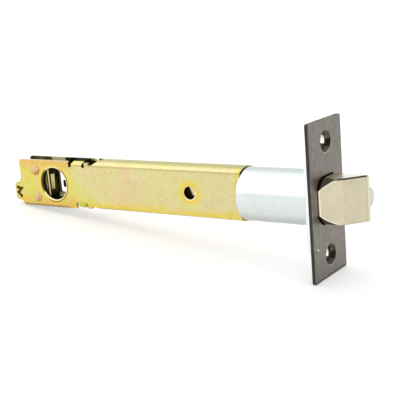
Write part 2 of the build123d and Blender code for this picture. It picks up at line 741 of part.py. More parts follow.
def build_all():
    os.makedirs("parts", exist_ok=True)
    save(faceplate(), "faceplate")
    save(back_plate(), "back_plate")
    save(barrel(), "barrel")
    save(case_half(True), "case_half_near")
    save(mirrored(case_half(False)), "case_half_far")
    button = guide_button()
    save(button, "guide_button_near_upper")
    save(upside_down(button), "guide_button_near_lower")
    save(mirrored(button), "guide_button_far_upper")
    save(mirrored(upside_down(button)), "guide_button_far_lower")
    save(latch_bolt(), "latch_bolt")
    save(link_pin(), "bolt_link_pin")
    save(link_bar(), "link_bar")
    save(retractor(), "retractor")
    rivet = retractor_rivet()
    save(rivet, "retractor_rivet_upper")
    save(upside_down(rivet), "retractor_rivet_lower")
    save(plunger(), "deadlatch_plunger")
    save(plunger_pin(), "plunger_pin")
    save(plunger_bar(), "plunger_bar")
    save(lever_carrier(), "lever_carrier")
    save(pivot_pin(), "lever_pivot_pin")
    save(deadlock_lever(), "deadlock_lever")
    save(follower_pin(), "lever_follower_pin")
    save(lever_spring(), "lever_spring")
    save(spring_plate(), "spring_plate")
    save(strip_spring(BOLT_WIRE, BOLT_TURNS, -SPRING_Z), "bolt_spring")
    save(strip_spring(PLUNGER_WIRE, PLUNGER_TURNS, SPRING_Z), "plunger_spring")


build_all()
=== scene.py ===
import json
import math

import bpy
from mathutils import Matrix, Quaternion, Vector


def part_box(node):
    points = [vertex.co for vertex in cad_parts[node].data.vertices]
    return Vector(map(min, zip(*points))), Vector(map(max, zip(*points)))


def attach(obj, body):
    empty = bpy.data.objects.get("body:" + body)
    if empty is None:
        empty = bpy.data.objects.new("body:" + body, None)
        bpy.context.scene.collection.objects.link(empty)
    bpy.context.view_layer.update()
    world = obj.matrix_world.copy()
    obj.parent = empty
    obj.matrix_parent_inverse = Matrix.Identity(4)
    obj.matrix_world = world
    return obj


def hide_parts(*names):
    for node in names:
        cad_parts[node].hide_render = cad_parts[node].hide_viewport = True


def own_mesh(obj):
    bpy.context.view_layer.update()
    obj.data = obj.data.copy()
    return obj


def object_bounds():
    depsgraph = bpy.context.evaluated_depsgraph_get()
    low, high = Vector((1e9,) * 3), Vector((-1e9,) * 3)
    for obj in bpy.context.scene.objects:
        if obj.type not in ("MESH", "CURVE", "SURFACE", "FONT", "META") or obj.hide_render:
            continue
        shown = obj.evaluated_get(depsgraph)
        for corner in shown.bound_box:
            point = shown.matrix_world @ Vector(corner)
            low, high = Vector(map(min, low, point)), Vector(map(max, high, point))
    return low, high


# The finish, the floor, the lights and the camera for a spring deadlatch. Metres, in the frame of
# the part: +X is the way the bolt points, +Z runs up the faceplate, and the origin is in the
# middle of the faceplate's back. Places in millimetres are turned into metres with MM.
MM = 0.001

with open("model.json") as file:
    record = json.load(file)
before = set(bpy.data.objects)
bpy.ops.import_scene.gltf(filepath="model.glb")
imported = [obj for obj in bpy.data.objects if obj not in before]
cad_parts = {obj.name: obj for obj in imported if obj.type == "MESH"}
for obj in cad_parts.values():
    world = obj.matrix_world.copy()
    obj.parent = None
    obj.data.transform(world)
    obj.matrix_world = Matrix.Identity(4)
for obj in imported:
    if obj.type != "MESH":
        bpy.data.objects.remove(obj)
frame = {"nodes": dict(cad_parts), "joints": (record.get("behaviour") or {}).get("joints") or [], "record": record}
cad_low, cad_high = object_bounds()

# Camera: where it stands, the point it looks at, its turn about the line of sight in degrees, its
# focal length in pixels of the square picture, the picture's side in pixels, its sensor's width in
# millimetres, and the nearest and the furthest that it sees
CAMERA_AT = Vector((141.06, -279.37, 75.06)) * MM
CAMERA_AIM = Vector((-54.02, 0.0, -4.02)) * MM
CAMERA_ROLL = -4.79
FOCAL_PIXELS = 895.6
PICTURE_SIDE = 400
SENSOR = 36.0
CLIP_NEAR = 0.01
CLIP_FAR = 20.0

# Floor: its side, the gap under the latch, how far above the lowest corner of its box the tail
# rests, the paint, and the glow that brings it to white. The glow shows to the camera and in
# metal, and the camera sees a little more of it.
FLOOR_SIZE = 4.0
FLOOR_GAP = 0.02 * MM
TAIL_LIFT = 0.4 * MM
FLOOR_WHITE = 0.86
FLOOR_ROUGHNESS = 0.55
FLOOR_GLOW = 0.36
FLOOR_GLOW_SEEN = 0.04

# Light: the world's level, and for each square lamp its place from the latch's middle, its side
# and its power in watts
WHITE = (1.0, 1.0, 1.0)
WORLD_LEVEL = 0.70
LAMPS = {
    "overhead": (Vector((-0.48, 0.02, 0.72)), 1.0, 1.7),
    "front_left": (Vector((-0.55, -0.75, 0.45)), 0.5, 0.43),
}

# Places on the case that the plating follows
SIGHT_HOLE_X = -54.8 * MM
SPINDLE_X = -125.6 * MM
BUTTON_X = -135.7 * MM
BUTTON_Z = 6.0 * MM
HOLE_RADIUS = 2.6 * MM
SPINDLE_RADIUS = 7.4 * MM
LIP_Y = -5.15 * MM
CASE_HALF_WIDTH = 5.6 * MM
CASE_RADIUS = 10.55 * MM
CASE_FRONT = -31.5 * MM
OPEN_TAIL_X = -115.0 * MM
BRIDGE_REAR = -112.3 * MM
BRIDGE_FRONT = -108.9 * MM
CUTS_REAR = -117.0 * MM
CUTS_FRONT = -103.9 * MM
FAR_OPENING = 6.35 * MM
LUG_X = -145.0 * MM
STRAP_Y = 4.2 * MM
TONES_REAR = -132 * MM
TONES_REACH = 100 * MM
# The far wall's wiped patch, whose brighter base also paints the light falling in
WIPED_AND_LIT_REAR = -134 * MM
WIPED_AND_LIT_FRONT = -127.2 * MM

# Places on the strips inside, and the strips themselves
INNER_STRIPS = ("link_bar", "plunger_bar", "retractor")
RETRACTOR_X = -129.0 * MM
STRIP_TIP_X = -119.5 * MM
STRIP_SHADE_REAR = -59 * MM
STRIP_SHADE_FRONT = -51 * MM

# Places on the barrel and the faceplate
BARREL_REAR = -31.3 * MM
BARREL_FRONT = -1.75 * MM
PLATE_FRONT = 1.4 * MM
SCREW_Z = 20.64 * MM
SCREW_RADIUS = 2.2 * MM
SINK_RADIUS = 4.0 * MM
WINDOW_HALF_WIDTH = 11 * MM

# Places on the bolt and the plunger
CREASE_X = 9.3 * MM
BOLT_FOOT = 1.9 * MM
BOLT_TIP = 15.2 * MM
BOLT_RADIUS = 9.4 * MM
BOLT_TOP = 8.4 * MM
PLUNGER_FLAT = 4.87 * MM

# The two long springs: wire and open turns of each. Each end has a closed turn as well, whose
# pitch is this many wires.
LONG_SPRINGS = {"bolt_spring": (0.8 * MM, 7), "plunger_spring": (0.55 * MM, 8)}
CLOSED_TURNS = 1.0
CLOSED_PITCH = 1.04
STEPS_PER_TURN = 28
WIRE_SIDES = 10

# The rounding that a surface shows along its edges
SOFT_EDGE = 0.12 * MM
EDGE_SAMPLES = 4

# How much finer the grain is along each axis, in rolled strip, handling marks, brushing, polish
# and scrapes
ROLLED = (1.0, 40.0, 40.0)
HANDLED = (1.0, 14.0, 14.0)
BRUSHED = (1.0, 60.0, 2.0)
POLISHED = (30.0, 30.0, 1.5)
SCRAPED = (1.0, 1.0, 16.0)

# The Mix node's sockets for colours
MIX_SHARE, MIX_FIRST, MIX_SECOND, MIX_RESULT = 0, 6, 7, 2


# Steps of a node tree

def tree_of(name):
    material = bpy.data.materials.new(name)
    material.use_nodes = True
    return material, material.node_tree


def shader_of(tree):
    return next(node for node in tree.nodes if node.type == "BSDF_PRINCIPLED")


def mapped(tree, vector, name, value):
    node = tree.nodes.new("ShaderNodeMapping")
    node.inputs[name].default_value = value
    tree.links.new(vector, node.inputs["Vector"])
    return node.outputs["Vector"]


def place(tree, grain=None):
    # The part's own coordinates, scaled for grain that runs one way.
    where = tree.nodes.new("ShaderNodeTexCoord").outputs["Object"]
    return mapped(tree, where, "Scale", grain) if grain else where


def axes(tree, vector):
    node = tree.nodes.new("ShaderNodeSeparateXYZ")
    tree.links.new(vector, node.inputs[0])
    return node.outputs


def facing(tree):
    # Which way the surface looks, in the part's own axes.
    where = tree.nodes.new("ShaderNodeTexCoord")
    return axes(tree, where.outputs["Normal"])


def noise(tree, vector, scale, detail, rough, twist=0.0):
    node = tree.nodes.new("ShaderNodeTexNoise")
    node.inputs["Scale"].default_value = scale
    node.inputs["Detail"].default_value = detail
    node.inputs["Roughness"].default_value = rough
    node.inputs["Distortion"].default_value = twist
    tree.links.new(vector, node.inputs["Vector"])
    return node.outputs["Fac"]


def calc(tree, operation, first, second=0.0):
    node = tree.nodes.new("ShaderNodeMath")
    node.operation = operation
    for socket, value in zip(node.inputs, (first, second)):
        if isinstance(value, bpy.types.NodeSocket):
            tree.links.new(value, socket)
        else:
            socket.default_value = value
    return node.outputs[0]


def product(tree, *values):
    total = values[0]
    for value in values[1:]:
        total = calc(tree, "MULTIPLY", total, value)
    return total


def either(tree, first, second):
    return calc(tree, "MAXIMUM", first, second)


def size_of(tree, value):
    return calc(tree, "ABSOLUTE", value)


def length_of(tree, first, second):
    # The length of a line that runs so far along each of two axes.
    squares = calc(tree, "ADD", product(tree, first, first), product(tree, second, second))
    return calc(tree, "SQRT", squares)


def waver(tree, field, reach):
    # Noise about its middle value, over the reach given.
    return calc(tree, "MULTIPLY", calc(tree, "SUBTRACT", field, 0.5), reach)


def span(tree, value, low, high, out_low=0.0, out_high=1.0):
    # Goes smoothly from out_low to out_high as the value goes from low to high.
    node = tree.nodes.new("ShaderNodeMapRange")
    node.interpolation_type = "SMOOTHSTEP"
    tree.links.new(value, node.inputs["Value"])
    limits = (("From Min", low), ("From Max", high), ("To Min", out_low), ("To Max", out_high))
    for name, number in limits:
        node.inputs[name].default_value = number
    return node.outputs["Result"]


def above(tree, value, level, soft):
    return span(tree, value, level, level + soft)


def below(tree, value, level, soft):
    return span(tree, value, level - soft, level, 1.0, 0.0)


def band(tree, value, low, high, soft):
    # 1 between low and high, fading out over soft beyond each.
    rising = span(tree, value, low - soft, low)
    return product(tree, rising, span(tree, value, high, high + soft, 1.0, 0.0))


def ramp(tree, value, stops, easing="LINEAR"):
    # stops holds pairs of place and colour.
    node = tree.nodes.new("ShaderNodeValToRGB")
    node.color_ramp.interpolation = easing
    while len(node.color_ramp.elements) < len(stops):
        node.color_ramp.elements.new(1.0)
    for element, (at, colour) in zip(node.color_ramp.elements, stops):
        element.position = at
        element.color = (*colour, 1.0)
    tree.links.new(value, node.inputs["Fac"])
    return node.outputs["Color"]


def blend(tree, share, first, second, mode="MIX"):
    node = tree.nodes.new("ShaderNodeMix")
    node.data_type = "RGBA"
    node.blend_type = mode
    tree.links.new(share, node.inputs[MIX_SHARE])
    for socket, value in ((node.inputs[MIX_FIRST], first), (node.inputs[MIX_SECOND], second)):
        if isinstance(value, tuple):
            socket.default_value = (*value, 1.0)
        else:
            tree.links.new(value, socket)
    return node.outputs[MIX_RESULT]


def paint(tree, colour, tint, *masks):
    # The tint over the colour, where all the masks are.
    return blend(tree, product(tree, *masks), colour, tint)


def relief(tree, heights, depth, edge=SOFT_EDGE):
    # Soft edges, with the small heights given laid over them.
    soft = tree.nodes.new("ShaderNodeBevel")
    soft.samples = EDGE_SAMPLES
    soft.inputs["Radius"].default_value = edge
    bump = tree.nodes.new("ShaderNodeBump")
    bump.inputs["Distance"].default_value = depth
    tree.links.new(heights, bump.inputs["Height"])
    tree.links.new(soft.outputs["Normal"], bump.inputs["Normal"])
    return bump.outputs["Normal"]


def metal(tree, colour, rough, normal):
    shader = shader_of(tree)
    shader.inputs["Metallic"].default_value = 1.0
    for name, value in (("Base Color", colour), ("Roughness", rough), ("Normal", normal)):
        tree.links.new(value, shader.inputs[name])
    return shader


# Masks of the object's own shapes

def away_from(tree, vector, x, z):
    # The distance from a line across the case at x, z.
    parts = axes(tree, vector)
    dx = calc(tree, "SUBTRACT", parts[0], x)
    dz = calc(tree, "SUBTRACT", parts[2], z)
    return length_of(tree, dx, dz)


def depth_in_case(tree, here):
    # How far below the case's outer skin a place lies: less than nothing outside it.
    x, y, z = axes(tree, here)
    aside = calc(tree, "SUBTRACT", CASE_HALF_WIDTH, size_of(tree, y))
    inward = calc(tree, "SUBTRACT", CASE_RADIUS, length_of(tree, y, z))
    rolled = calc(tree, "MINIMUM", aside, inward)
    open_tail = calc(tree, "LESS_THAN", x, OPEN_TAIL_X)
    kept = product(tree, rolled, calc(tree, "SUBTRACT", 1.0, open_tail))
    return calc(tree, "ADD", kept, product(tree, aside, open_tail))


def scrape(tree, here, x, z, slant, reach):
    # A patch of short slanting scratches on the flat side at x, z.
    turned = mapped(tree, here, "Rotation", (0.0, slant, 0.0))
    thin = mapped(tree, turned, "Scale", SCRAPED)
    streaks = noise(tree, thin, scale=170.0, detail=2.0, rough=0.5)
    patch = span(tree, away_from(tree, here, x, z), 0.3 * reach, reach, 1.0, 0.0)
    return product(tree, span(tree, streaks, 0.54, 0.62), patch)


def scratch(tree, here, at_y, at_z, slope, half):
    # One short straight scratch on the faceplate's front, so far each way from at_y, at_z.
    x, y, z = axes(tree, here)
    dy = calc(tree, "SUBTRACT", y, at_y)
    dz = calc(tree, "SUBTRACT", z, at_z)
    cos, sin = math.cos(slope), math.sin(slope)
    long = calc(tree, "ADD", calc(tree, "MULTIPLY", dy, cos), calc(tree, "MULTIPLY", dz, sin))
    wide = calc(tree, "SUBTRACT", calc(tree, "MULTIPLY", dz, cos), calc(tree, "MULTIPLY", dy, sin))
    return product(
        tree,
        below(tree, size_of(tree, long), half, 0.4 * MM),
        below(tree, size_of(tree, wide), 0.22 * MM, 0.12 * MM),
        above(tree, x, PLATE_FRONT - 0.05 * MM, 0.02 * MM),
    )


def screw_ring(tree, here, hole_z):
    # The distance from the middle of a screw hole in the plane of the plates, and its upright part.
    y, z = axes(tree, here)[1:]
    dz = calc(tree, "SUBTRACT", z, hole_z)
    return length_of(tree, y, dz), dz


# Yellow zinc. The tones go from the tail to the case's front end.
PLATING_TONES = (
    (0.06, (0.72, 0.63, 0.11)),
    (0.20, (0.69, 0.64, 0.19)),
    (0.28, (0.70, 0.65, 0.28)),
    (0.40, (0.735, 0.575, 0.31)),
    (0.58, (0.70, 0.64, 0.28)),
    (0.80, (0.71, 0.61, 0.335)),
    (0.98, (0.70, 0.61, 0.31)),
)
BLOTCH_GREEN = (0.63, 0.65, 0.24)
BLOTCH_PINK = (0.77, 0.59, 0.34)
SPECK_BROWN = (0.58, 0.45, 0.21)
ROLLED_STRAW = (0.90, 0.86, 0.57)
SCRAPED_PALE = (0.92, 0.90, 0.70)
LOWER_GOLD = (0.76, 0.585, 0.07)
LOWER_ORANGE = (0.73, 0.40, 0.10)
TAIL_TAN = (0.74, 0.46, 0.13)
FRONT_GOLD = (0.74, 0.58, 0.09)
# Painted shade: a grey line on the case's front end beside the barrel
FRONT_EDGE_SHADE_GREY = (0.42, 0.42, 0.22)
BRIDGE_GREEN = (0.53, 0.55, 0.06)
# Painted shade: the crown's duller reflection, the underside and the crease line
CROWN_SHADE_OLIVE = (0.49, 0.46, 0.16)
UNDER_SHADE_BROWN = (0.40, 0.34, 0.09)
CREASE_SHADE_OLIVE = (0.46, 0.42, 0.16)
SHEET_EDGE_OLIVE = (0.42, 0.40, 0.13)
# Painted contact shade along the tail's bottom edge
FOOT_SHADE_BROWN = (0.26, 0.22, 0.06)
# Painted highlight on the tail's upward-facing top edges
BROW_HIGHLIGHT_PALE = (0.85, 0.84, 0.60)
HALO_GREEN = (0.66, 0.67, 0.16)
HALO_GOLD = (0.82, 0.56, 0.08)
SPINDLE_HALO_GOLD = (0.84, 0.60, 0.10)
COLLAR_RUST = (0.50, 0.24, 0.05)
COLLAR_GREEN = (0.44, 0.53, 0.09)
# Painted shade in the bores, painted highlight and painted shade on the rolled lips
BORE_SHADE_BLACK = (0.022, 0.016, 0.008)
LIP_HIGHLIGHT = (0.96, 0.87, 0.52)
LIP_SHADE_BROWN = (0.075, 0.048, 0.012)
LIP_SHADE = (0.06, 0.045, 0.012)
LIP_SHADE_DULL = (0.16, 0.105, 0.012)
LOWER_LIP_HIGHLIGHT = (0.99, 0.88, 0.58)
# Grease and painted shade inside the case
GREASE_AND_SHADE_THICK = (0.026, 0.021, 0.008)
GREASE_AND_SHADE_THIN = (0.115, 0.092, 0.028)
# Wiped plating, painted brighter for the light that falls in as well
WIPED_AND_LIT_YELLOW = (0.99, 0.94, 0.46)
LUG_BROWN = (0.42, 0.25, 0.08)
# Painted shade on the far opening's edges and in the cuts beside the bridge
SAWN_EDGE_SHADE = (0.03, 0.028, 0.02)
SLIT_SHADE_BLACK = (0.012, 0.010, 0.006)


def plating_tones(tree, here, bloom):
    # Straw yellow with slow drifts of pink and green along the case, and small brown specks.
    x = axes(tree, here)[0]
    drift = noise(tree, here, scale=60.0, detail=3.0, rough=0.55, twist=0.8)
    fine = noise(tree, here, scale=620.0, detail=4.0, rough=0.65, twist=0.6)
    along = calc(tree, "MULTIPLY", calc(tree, "ADD", x, -TONES_REAR), 1 / TONES_REACH)
    along = calc(tree, "ADD", along, waver(tree, drift, 0.55))
    colour = ramp(tree, along, PLATING_TONES, "EASE")
    colour = paint(tree, colour, BLOTCH_GREEN, span(tree, bloom, 0.50, 0.66, 0.0, 0.65))
    colour = paint(tree, colour, BLOTCH_PINK, span(tree, bloom, 0.36, 0.48, 0.52, 0.0))
    return paint(tree, colour, SPECK_BROWN, span(tree, fine, 0.48, 0.68, 0.0, 0.42))


def plating_bends(tree, here, colour, ragged):
    # Deeper gold along the lower bend, round the tail and at the case's front end, and green under
    # the bridge. Painted shade: olive along the crown for its duller reflection, brown underneath, a
    # dull line where the flat side meets the bend, and a grey line along the case's front end.
    x, y, z = axes(tree, here)
    low = calc(tree, "SUBTRACT", ragged, z)
    colour = paint(tree, colour, LOWER_GOLD, span(tree, low, 5.2 * MM, 9.0 * MM, 0.0, 0.93))
    colour = paint(tree, colour, LOWER_ORANGE, span(tree, low, 8.2 * MM, 10.8 * MM, 0.0, 0.55))
    tail = below(tree, calc(tree, "ADD", x, ragged), -108 * MM, 10 * MM)
    flat_edge = calc(tree, "ADD", size_of(tree, z), ragged)
    warm = span(tree, flat_edge, 4.5 * MM, 9.5 * MM, 0.0, 0.85)
    colour = paint(tree, colour, TAIL_TAN, tail, warm)
    front = calc(tree, "ADD", x, calc(tree, "MULTIPLY", ragged, 0.5))
    colour = paint(tree, colour, FRONT_GOLD, span(tree, front, -36 * MM, -32 * MM, 0.0, 0.7))
    lower_side = below(tree, z, -6.8 * MM, 0.8 * MM)
    bridge = product(tree, lower_side, band(tree, x, BRIDGE_REAR, BRIDGE_FRONT, 0.5 * MM))
    colour = paint(tree, colour, BRIDGE_GREEN, bridge, 0.85)
    aside = size_of(tree, y)
    crown_shade = above(tree, z, 8.6 * MM, 0.6 * MM)
    crown_shade = product(tree, crown_shade, below(tree, aside, 4.4 * MM, 1.8 * MM))
    under_shade = below(tree, z, -9.0 * MM, 0.6 * MM)
    under_shade = product(tree, under_shade, below(tree, aside, 5.4 * MM, 1.2 * MM))
    # Painted shade on the crown and underneath
    colour = paint(tree, colour, CROWN_SHADE_OLIVE, crown_shade, 0.85)
    colour = paint(tree, colour, UNDER_SHADE_BROWN, under_shade, 0.8)
    crease_shade = band(tree, z, 8.3 * MM, 8.7 * MM, 0.35 * MM)
    crease_shade = product(tree, crease_shade, above(tree, aside, 5.2 * MM, 0.2 * MM))
    crease_shade = product(tree, crease_shade, above(tree, x, BRIDGE_REAR, 0.5 * MM))
    # Painted shade along the crease
    colour = paint(tree, colour, CREASE_SHADE_OLIVE, crease_shade, 0.55)
    # Painted shade at the case's front end beside the barrel
    front_edge_shade = above(tree, x, CASE_FRONT - 0.45 * MM, 0.15 * MM)
    return paint(tree, colour, FRONT_EDGE_SHADE_GREY, front_edge_shade, 0.6)


def plating_rings(tree, here, colour, ragged, fine):
    # Halos round the holes on the near side, a wide green one under a gold one at the sight hole
    # and a gold one at the spindle's, and collars of dirt, each strongest on one side of its
    # button.
    x, y, z = axes(tree, here)
    halos = (
        (SIGHT_HOLE_X, HOLE_RADIUS, 6.5 * MM, 0.85, HALO_GREEN),
        (SIGHT_HOLE_X, HOLE_RADIUS, 3.0 * MM, 0.95, HALO_GOLD),
        (SPINDLE_X, SPINDLE_RADIUS, 2.2 * MM, 0.8, SPINDLE_HALO_GOLD),
    )
    for centre, radius, width, strength, tint in halos:
        ring = away_from(tree, here, centre, 0.0)
        ring = calc(tree, "ADD", ring, calc(tree, "MULTIPLY", ragged, 0.45))
        halo = span(tree, ring, radius, radius + width, strength, 0.0)
        colour = paint(tree, colour, tint, halo, below(tree, y, 0.0, 0.1 * MM))
    uneven = waver(tree, fine, 1.6 * MM)
    collars = ((BUTTON_Z, 0.4, -1.0, COLLAR_RUST), (-BUTTON_Z, -0.6, -1.0, COLLAR_GREEN))
    for button_z, to_x, to_z, tint in collars:
        ring = calc(tree, "ADD", away_from(tree, here, BUTTON_X, button_z), uneven)
        dx = calc(tree, "MULTIPLY", calc(tree, "SUBTRACT", x, BUTTON_X), to_x)
        dz = calc(tree, "MULTIPLY", calc(tree, "SUBTRACT", z, button_z), to_z)
        side = span(tree, calc(tree, "ADD", dx, dz), -1.0 * MM, 2.0 * MM, 0.15, 1.0)
        colour = paint(tree, colour, tint, below(tree, ring, 3.1 * MM, 0.8 * MM), side, 0.9)
    return colour


def hole_lips(tree, here, colour):
    # The holes of the near side. The bores are black with painted shade and the rolled edges carry
    # a painted highlight, brightest below the sight hole, with brown painted shade at their upper
    # rear. The spindle hole's edge is dark with painted shade inside at its front, and a dull line
    # of painted shade runs round its lower front.
    x, y, z = axes(tree, here)
    outside = below(tree, y, LIP_Y, 0.15 * MM)
    holes = (
        (SIGHT_HOLE_X, 0.0, HOLE_RADIUS),
        (SPINDLE_X, SPINDLE_RADIUS - 0.6 * MM, SPINDLE_RADIUS),
    )
    for centre, bore, lip in holes:
        ring = away_from(tree, here, centre, 0.0)
        near_side = below(tree, y, 0.0, 0.1 * MM)
        bore_shade = below(tree, ring, lip + 0.1 * MM, 0.1 * MM)
        bore_shade = product(tree, bore_shade, near_side, above(tree, y, LIP_Y - 0.15 * MM, 0.2 * MM))
        # Painted shade in the bore
        colour = paint(tree, colour, BORE_SHADE_BLACK, bore_shade, 0.96)
        rolled = product(tree, band(tree, ring, bore, lip + 0.05 * MM, 0.15 * MM), outside)
        rear = below(tree, x, centre - 3.5 * MM, 1.5 * MM)
        upper_rear = product(tree, rear, above(tree, z, -4.5 * MM, 1.5 * MM))
        highlight_share = calc(tree, "SUBTRACT", 0.85, calc(tree, "MULTIPLY", upper_rear, 0.6))
        # Painted highlight on the rolled edge, and brown painted shade at its upper rear
        colour = paint(tree, colour, LIP_HIGHLIGHT, rolled, highlight_share)
        colour = paint(tree, colour, LIP_SHADE_BROWN, rolled, upper_rear, 0.9)
    ring = away_from(tree, here, SIGHT_HOLE_X, 0.0)
    forward = calc(tree, "MULTIPLY", calc(tree, "SUBTRACT", x, SIGHT_HOLE_X), 0.5)
    lit = calc(tree, "SUBTRACT", forward, z)
    rim = band(tree, ring, HOLE_RADIUS, HOLE_RADIUS + 0.30 * MM, 0.18 * MM)
    rim = product(tree, rim, above(tree, lit, 0.0, 1.2 * MM), outside)
    # Painted highlight on the lip below the sight hole
    colour = paint(tree, colour, LOWER_LIP_HIGHLIGHT, rim, 0.9)
    ring = away_from(tree, here, SPINDLE_X, 0.0)
    front = below(tree, ring, SPINDLE_RADIUS - 0.15 * MM, 0.12 * MM)
    front = product(tree, front, above(tree, x, SPINDLE_X + 2 * MM, 1.5 * MM))
    front = product(tree, front, above(tree, z, -2.5 * MM, 1.5 * MM), below(tree, y, 0.0, 0.1 * MM))
    colour = paint(tree, colour, LIP_SHADE, front, 0.9)
    forward = calc(tree, "SUBTRACT", x, SPINDLE_X)
    lower = calc(tree, "SUBTRACT", forward, calc(tree, "MULTIPLY", z, 0.6))
    dull_shade = band(tree, ring, SPINDLE_RADIUS + 0.3 * MM, SPINDLE_RADIUS + 0.6 * MM, 0.2 * MM)
    dull_shade = product(tree, dull_shade, above(tree, lower, -1.5 * MM, 4 * MM), outside)
    # Painted shade round the spindle hole's lower front
    return paint(tree, colour, LIP_SHADE_DULL, dull_shade, 0.9)


def grease_and_shade_inside(tree, here, colour, bloom, not_strap):
    # The inside is dark with grease and painted shade, wiped to bare plating in two places on the far
    # wall, whose brighter base also paints the light that falls in there, and brown in the lug. The
    # far opening's edges and the cuts beside the bridge are black with painted shade. Gives the
    # colour, where the grease is thin, and the cuts.
    x, y, z = axes(tree, here)
    inside = span(tree, depth_in_case(tree, here), 0.80 * MM, 1.15 * MM)
    inside = product(tree, inside, not_strap)
    # Grease and painted shade
    grease_and_shade = blend(tree, span(tree, bloom, 0.38, 0.66), GREASE_AND_SHADE_THICK, GREASE_AND_SHADE_THIN)
    upper = band(tree, x, WIPED_AND_LIT_REAR, WIPED_AND_LIT_FRONT, 1.2 * MM)
    upper = product(tree, upper, above(tree, z, 6.0 * MM, 1.5 * MM))
    lower = above(tree, x, WIPED_AND_LIT_REAR, 1 * MM)
    lower = product(tree, lower, below(tree, z, -5.5 * MM, 0.6 * MM))
    wiped_and_lit = product(tree, either(tree, upper, lower), above(tree, y, 0.0, 1 * MM), inside)
    # Wiped plating, painted brighter for the light that falls in as well
    grease_and_shade = paint(tree, grease_and_shade, WIPED_AND_LIT_YELLOW, wiped_and_lit, 0.97)
    lug = below(tree, x, LUG_X, 0.5 * MM)
    lug = product(tree, lug, below(tree, size_of(tree, z), 6 * MM, 1 * MM), inside)
    lug = product(tree, lug, below(tree, y, STRAP_Y, 0.1 * MM))
    grease_and_shade = paint(tree, grease_and_shade, LUG_BROWN, lug)
    thin = either(tree, wiped_and_lit, lug)
    # The inside, dark with grease and painted shade
    colour = paint(tree, colour, grease_and_shade, inside)
    from_spindle = size_of(tree, calc(tree, "SUBTRACT", x, SPINDLE_X))
    from_middle = calc(tree, "MAXIMUM", from_spindle, size_of(tree, z))
    sawn_shade = below(tree, from_middle, FAR_OPENING, 0.1 * MM)
    sawn_shade = product(tree, sawn_shade, above(tree, y, STRAP_Y + 0.1 * MM, 0.1 * MM))
    # Painted shade on the far opening's edges
    colour = paint(tree, colour, SAWN_EDGE_SHADE, sawn_shade, 0.95)
    slit_shade = product(
        tree,
        band(tree, x, CUTS_REAR, CUTS_FRONT, 0.4 * MM),
        band(tree, y, -3.0 * MM, 0.8 * MM, 0.5 * MM),
        above(tree, z, 7 * MM, 1 * MM),
    )
    # Painted shade: a black slot across the crown beside the bridge
    return paint(tree, colour, SLIT_SHADE_BLACK, slit_shade, 0.97), thin, slit_shade


def yellow_zinc():
    # Yellow chromate over the faint lines of rolled strip, with a few scrapes, dull cut edges, painted
    # shade along the tail's foot, a painted highlight on its upper edges, and an inside dark with
    # grease and painted shade. The strap behind the lug is plated on its back.
    material, tree = tree_of("yellow_zinc_plate")
    here = place(tree)
    x, _, z = axes(tree, here)
    bloom = noise(tree, here, scale=210.0, detail=4.0, rough=0.62, twist=1.2)
    fine = noise(tree, here, scale=900.0, detail=3.0, rough=0.6)
    ragged = waver(tree, bloom, 7 * MM)
    colour = plating_tones(tree, here, bloom)
    colour = plating_bends(tree, here, colour, ragged)
    colour = plating_rings(tree, here, colour, ragged, fine)
    lines = noise(tree, place(tree, ROLLED), scale=55.0, detail=4.0, rough=0.6)
    colour = paint(tree, colour, ROLLED_STRAW, span(tree, lines, 0.35, 0.75, 0.0, 0.08))
    rear_marks = scrape(tree, here, x=-79 * MM, z=5.8 * MM, slant=-0.9, reach=5.0 * MM)
    front_marks = scrape(tree, here, x=-35.6 * MM, z=7.6 * MM, slant=0.5, reach=3.0 * MM)
    marks = either(tree, rear_marks, front_marks)
    colour = paint(tree, colour, SCRAPED_PALE, marks, 0.6)
    look_x, _, look_up = facing(tree)
    strap_back = below(tree, look_x, -0.6, 0.2)
    strap_back = product(tree, strap_back, below(tree, x, LUG_X, 0.5 * MM))
    not_strap = calc(tree, "SUBTRACT", 1.0, strap_back)
    sheet_edge = span(tree, depth_in_case(tree, here), 0.15 * MM, 0.40 * MM)
    sheet_edge = product(tree, sheet_edge, not_strap)
    colour = paint(tree, colour, SHEET_EDGE_OLIVE, sheet_edge, 0.6)
    # Painted contact shade along the tail's bottom edge
    foot_shade = below(tree, z, -9.1 * MM, 0.5 * MM)
    foot_shade = product(tree, foot_shade, below(tree, x, OPEN_TAIL_X, 6 * MM))
    colour = paint(tree, colour, FOOT_SHADE_BROWN, foot_shade, 0.8)
    # Painted highlight on the tail's upward-facing top edges
    brow_highlight = product(tree, above(tree, look_up, 0.7, 0.1), above(tree, z, 9.3 * MM, 0.3 * MM))
    brow_highlight = product(tree, brow_highlight, below(tree, x, OPEN_TAIL_X, 1 * MM))
    colour = paint(tree, colour, BROW_HIGHLIGHT_PALE, brow_highlight, 0.9)
    colour, thin, slit_shade = grease_and_shade_inside(tree, here, colour, bloom, not_strap)
    colour = hole_lips(tree, here, colour)
    grain = noise(tree, here, scale=420.0, detail=4.0, rough=0.65)
    rough = span(tree, grain, 0.25, 0.8, 0.26, 0.42)
    height = calc(tree, "MULTIPLY", lines, 0.5)
    height = calc(tree, "ADD", height, calc(tree, "MULTIPLY", bloom, 1.5))
    height = calc(tree, "SUBTRACT", height, calc(tree, "MULTIPLY", marks, 2.0))
    rough = either(tree, rough, product(tree, slit_shade, 0.9))
    shader = metal(tree, colour, rough, relief(tree, height, depth=0.018 * MM))
    metallic = calc(tree, "SUBTRACT", 1.0, product(tree, thin, 0.85))
    tree.links.new(metallic, shader.inputs["Metallic"])
    return material


# The greased strips inside, with painted shade and painted light
# Grease and painted shade on the strips
STRIP_GREASE_AND_SHADE = ((0.35, (0.009, 0.009, 0.007)), (0.70, (0.042, 0.034, 0.014)))
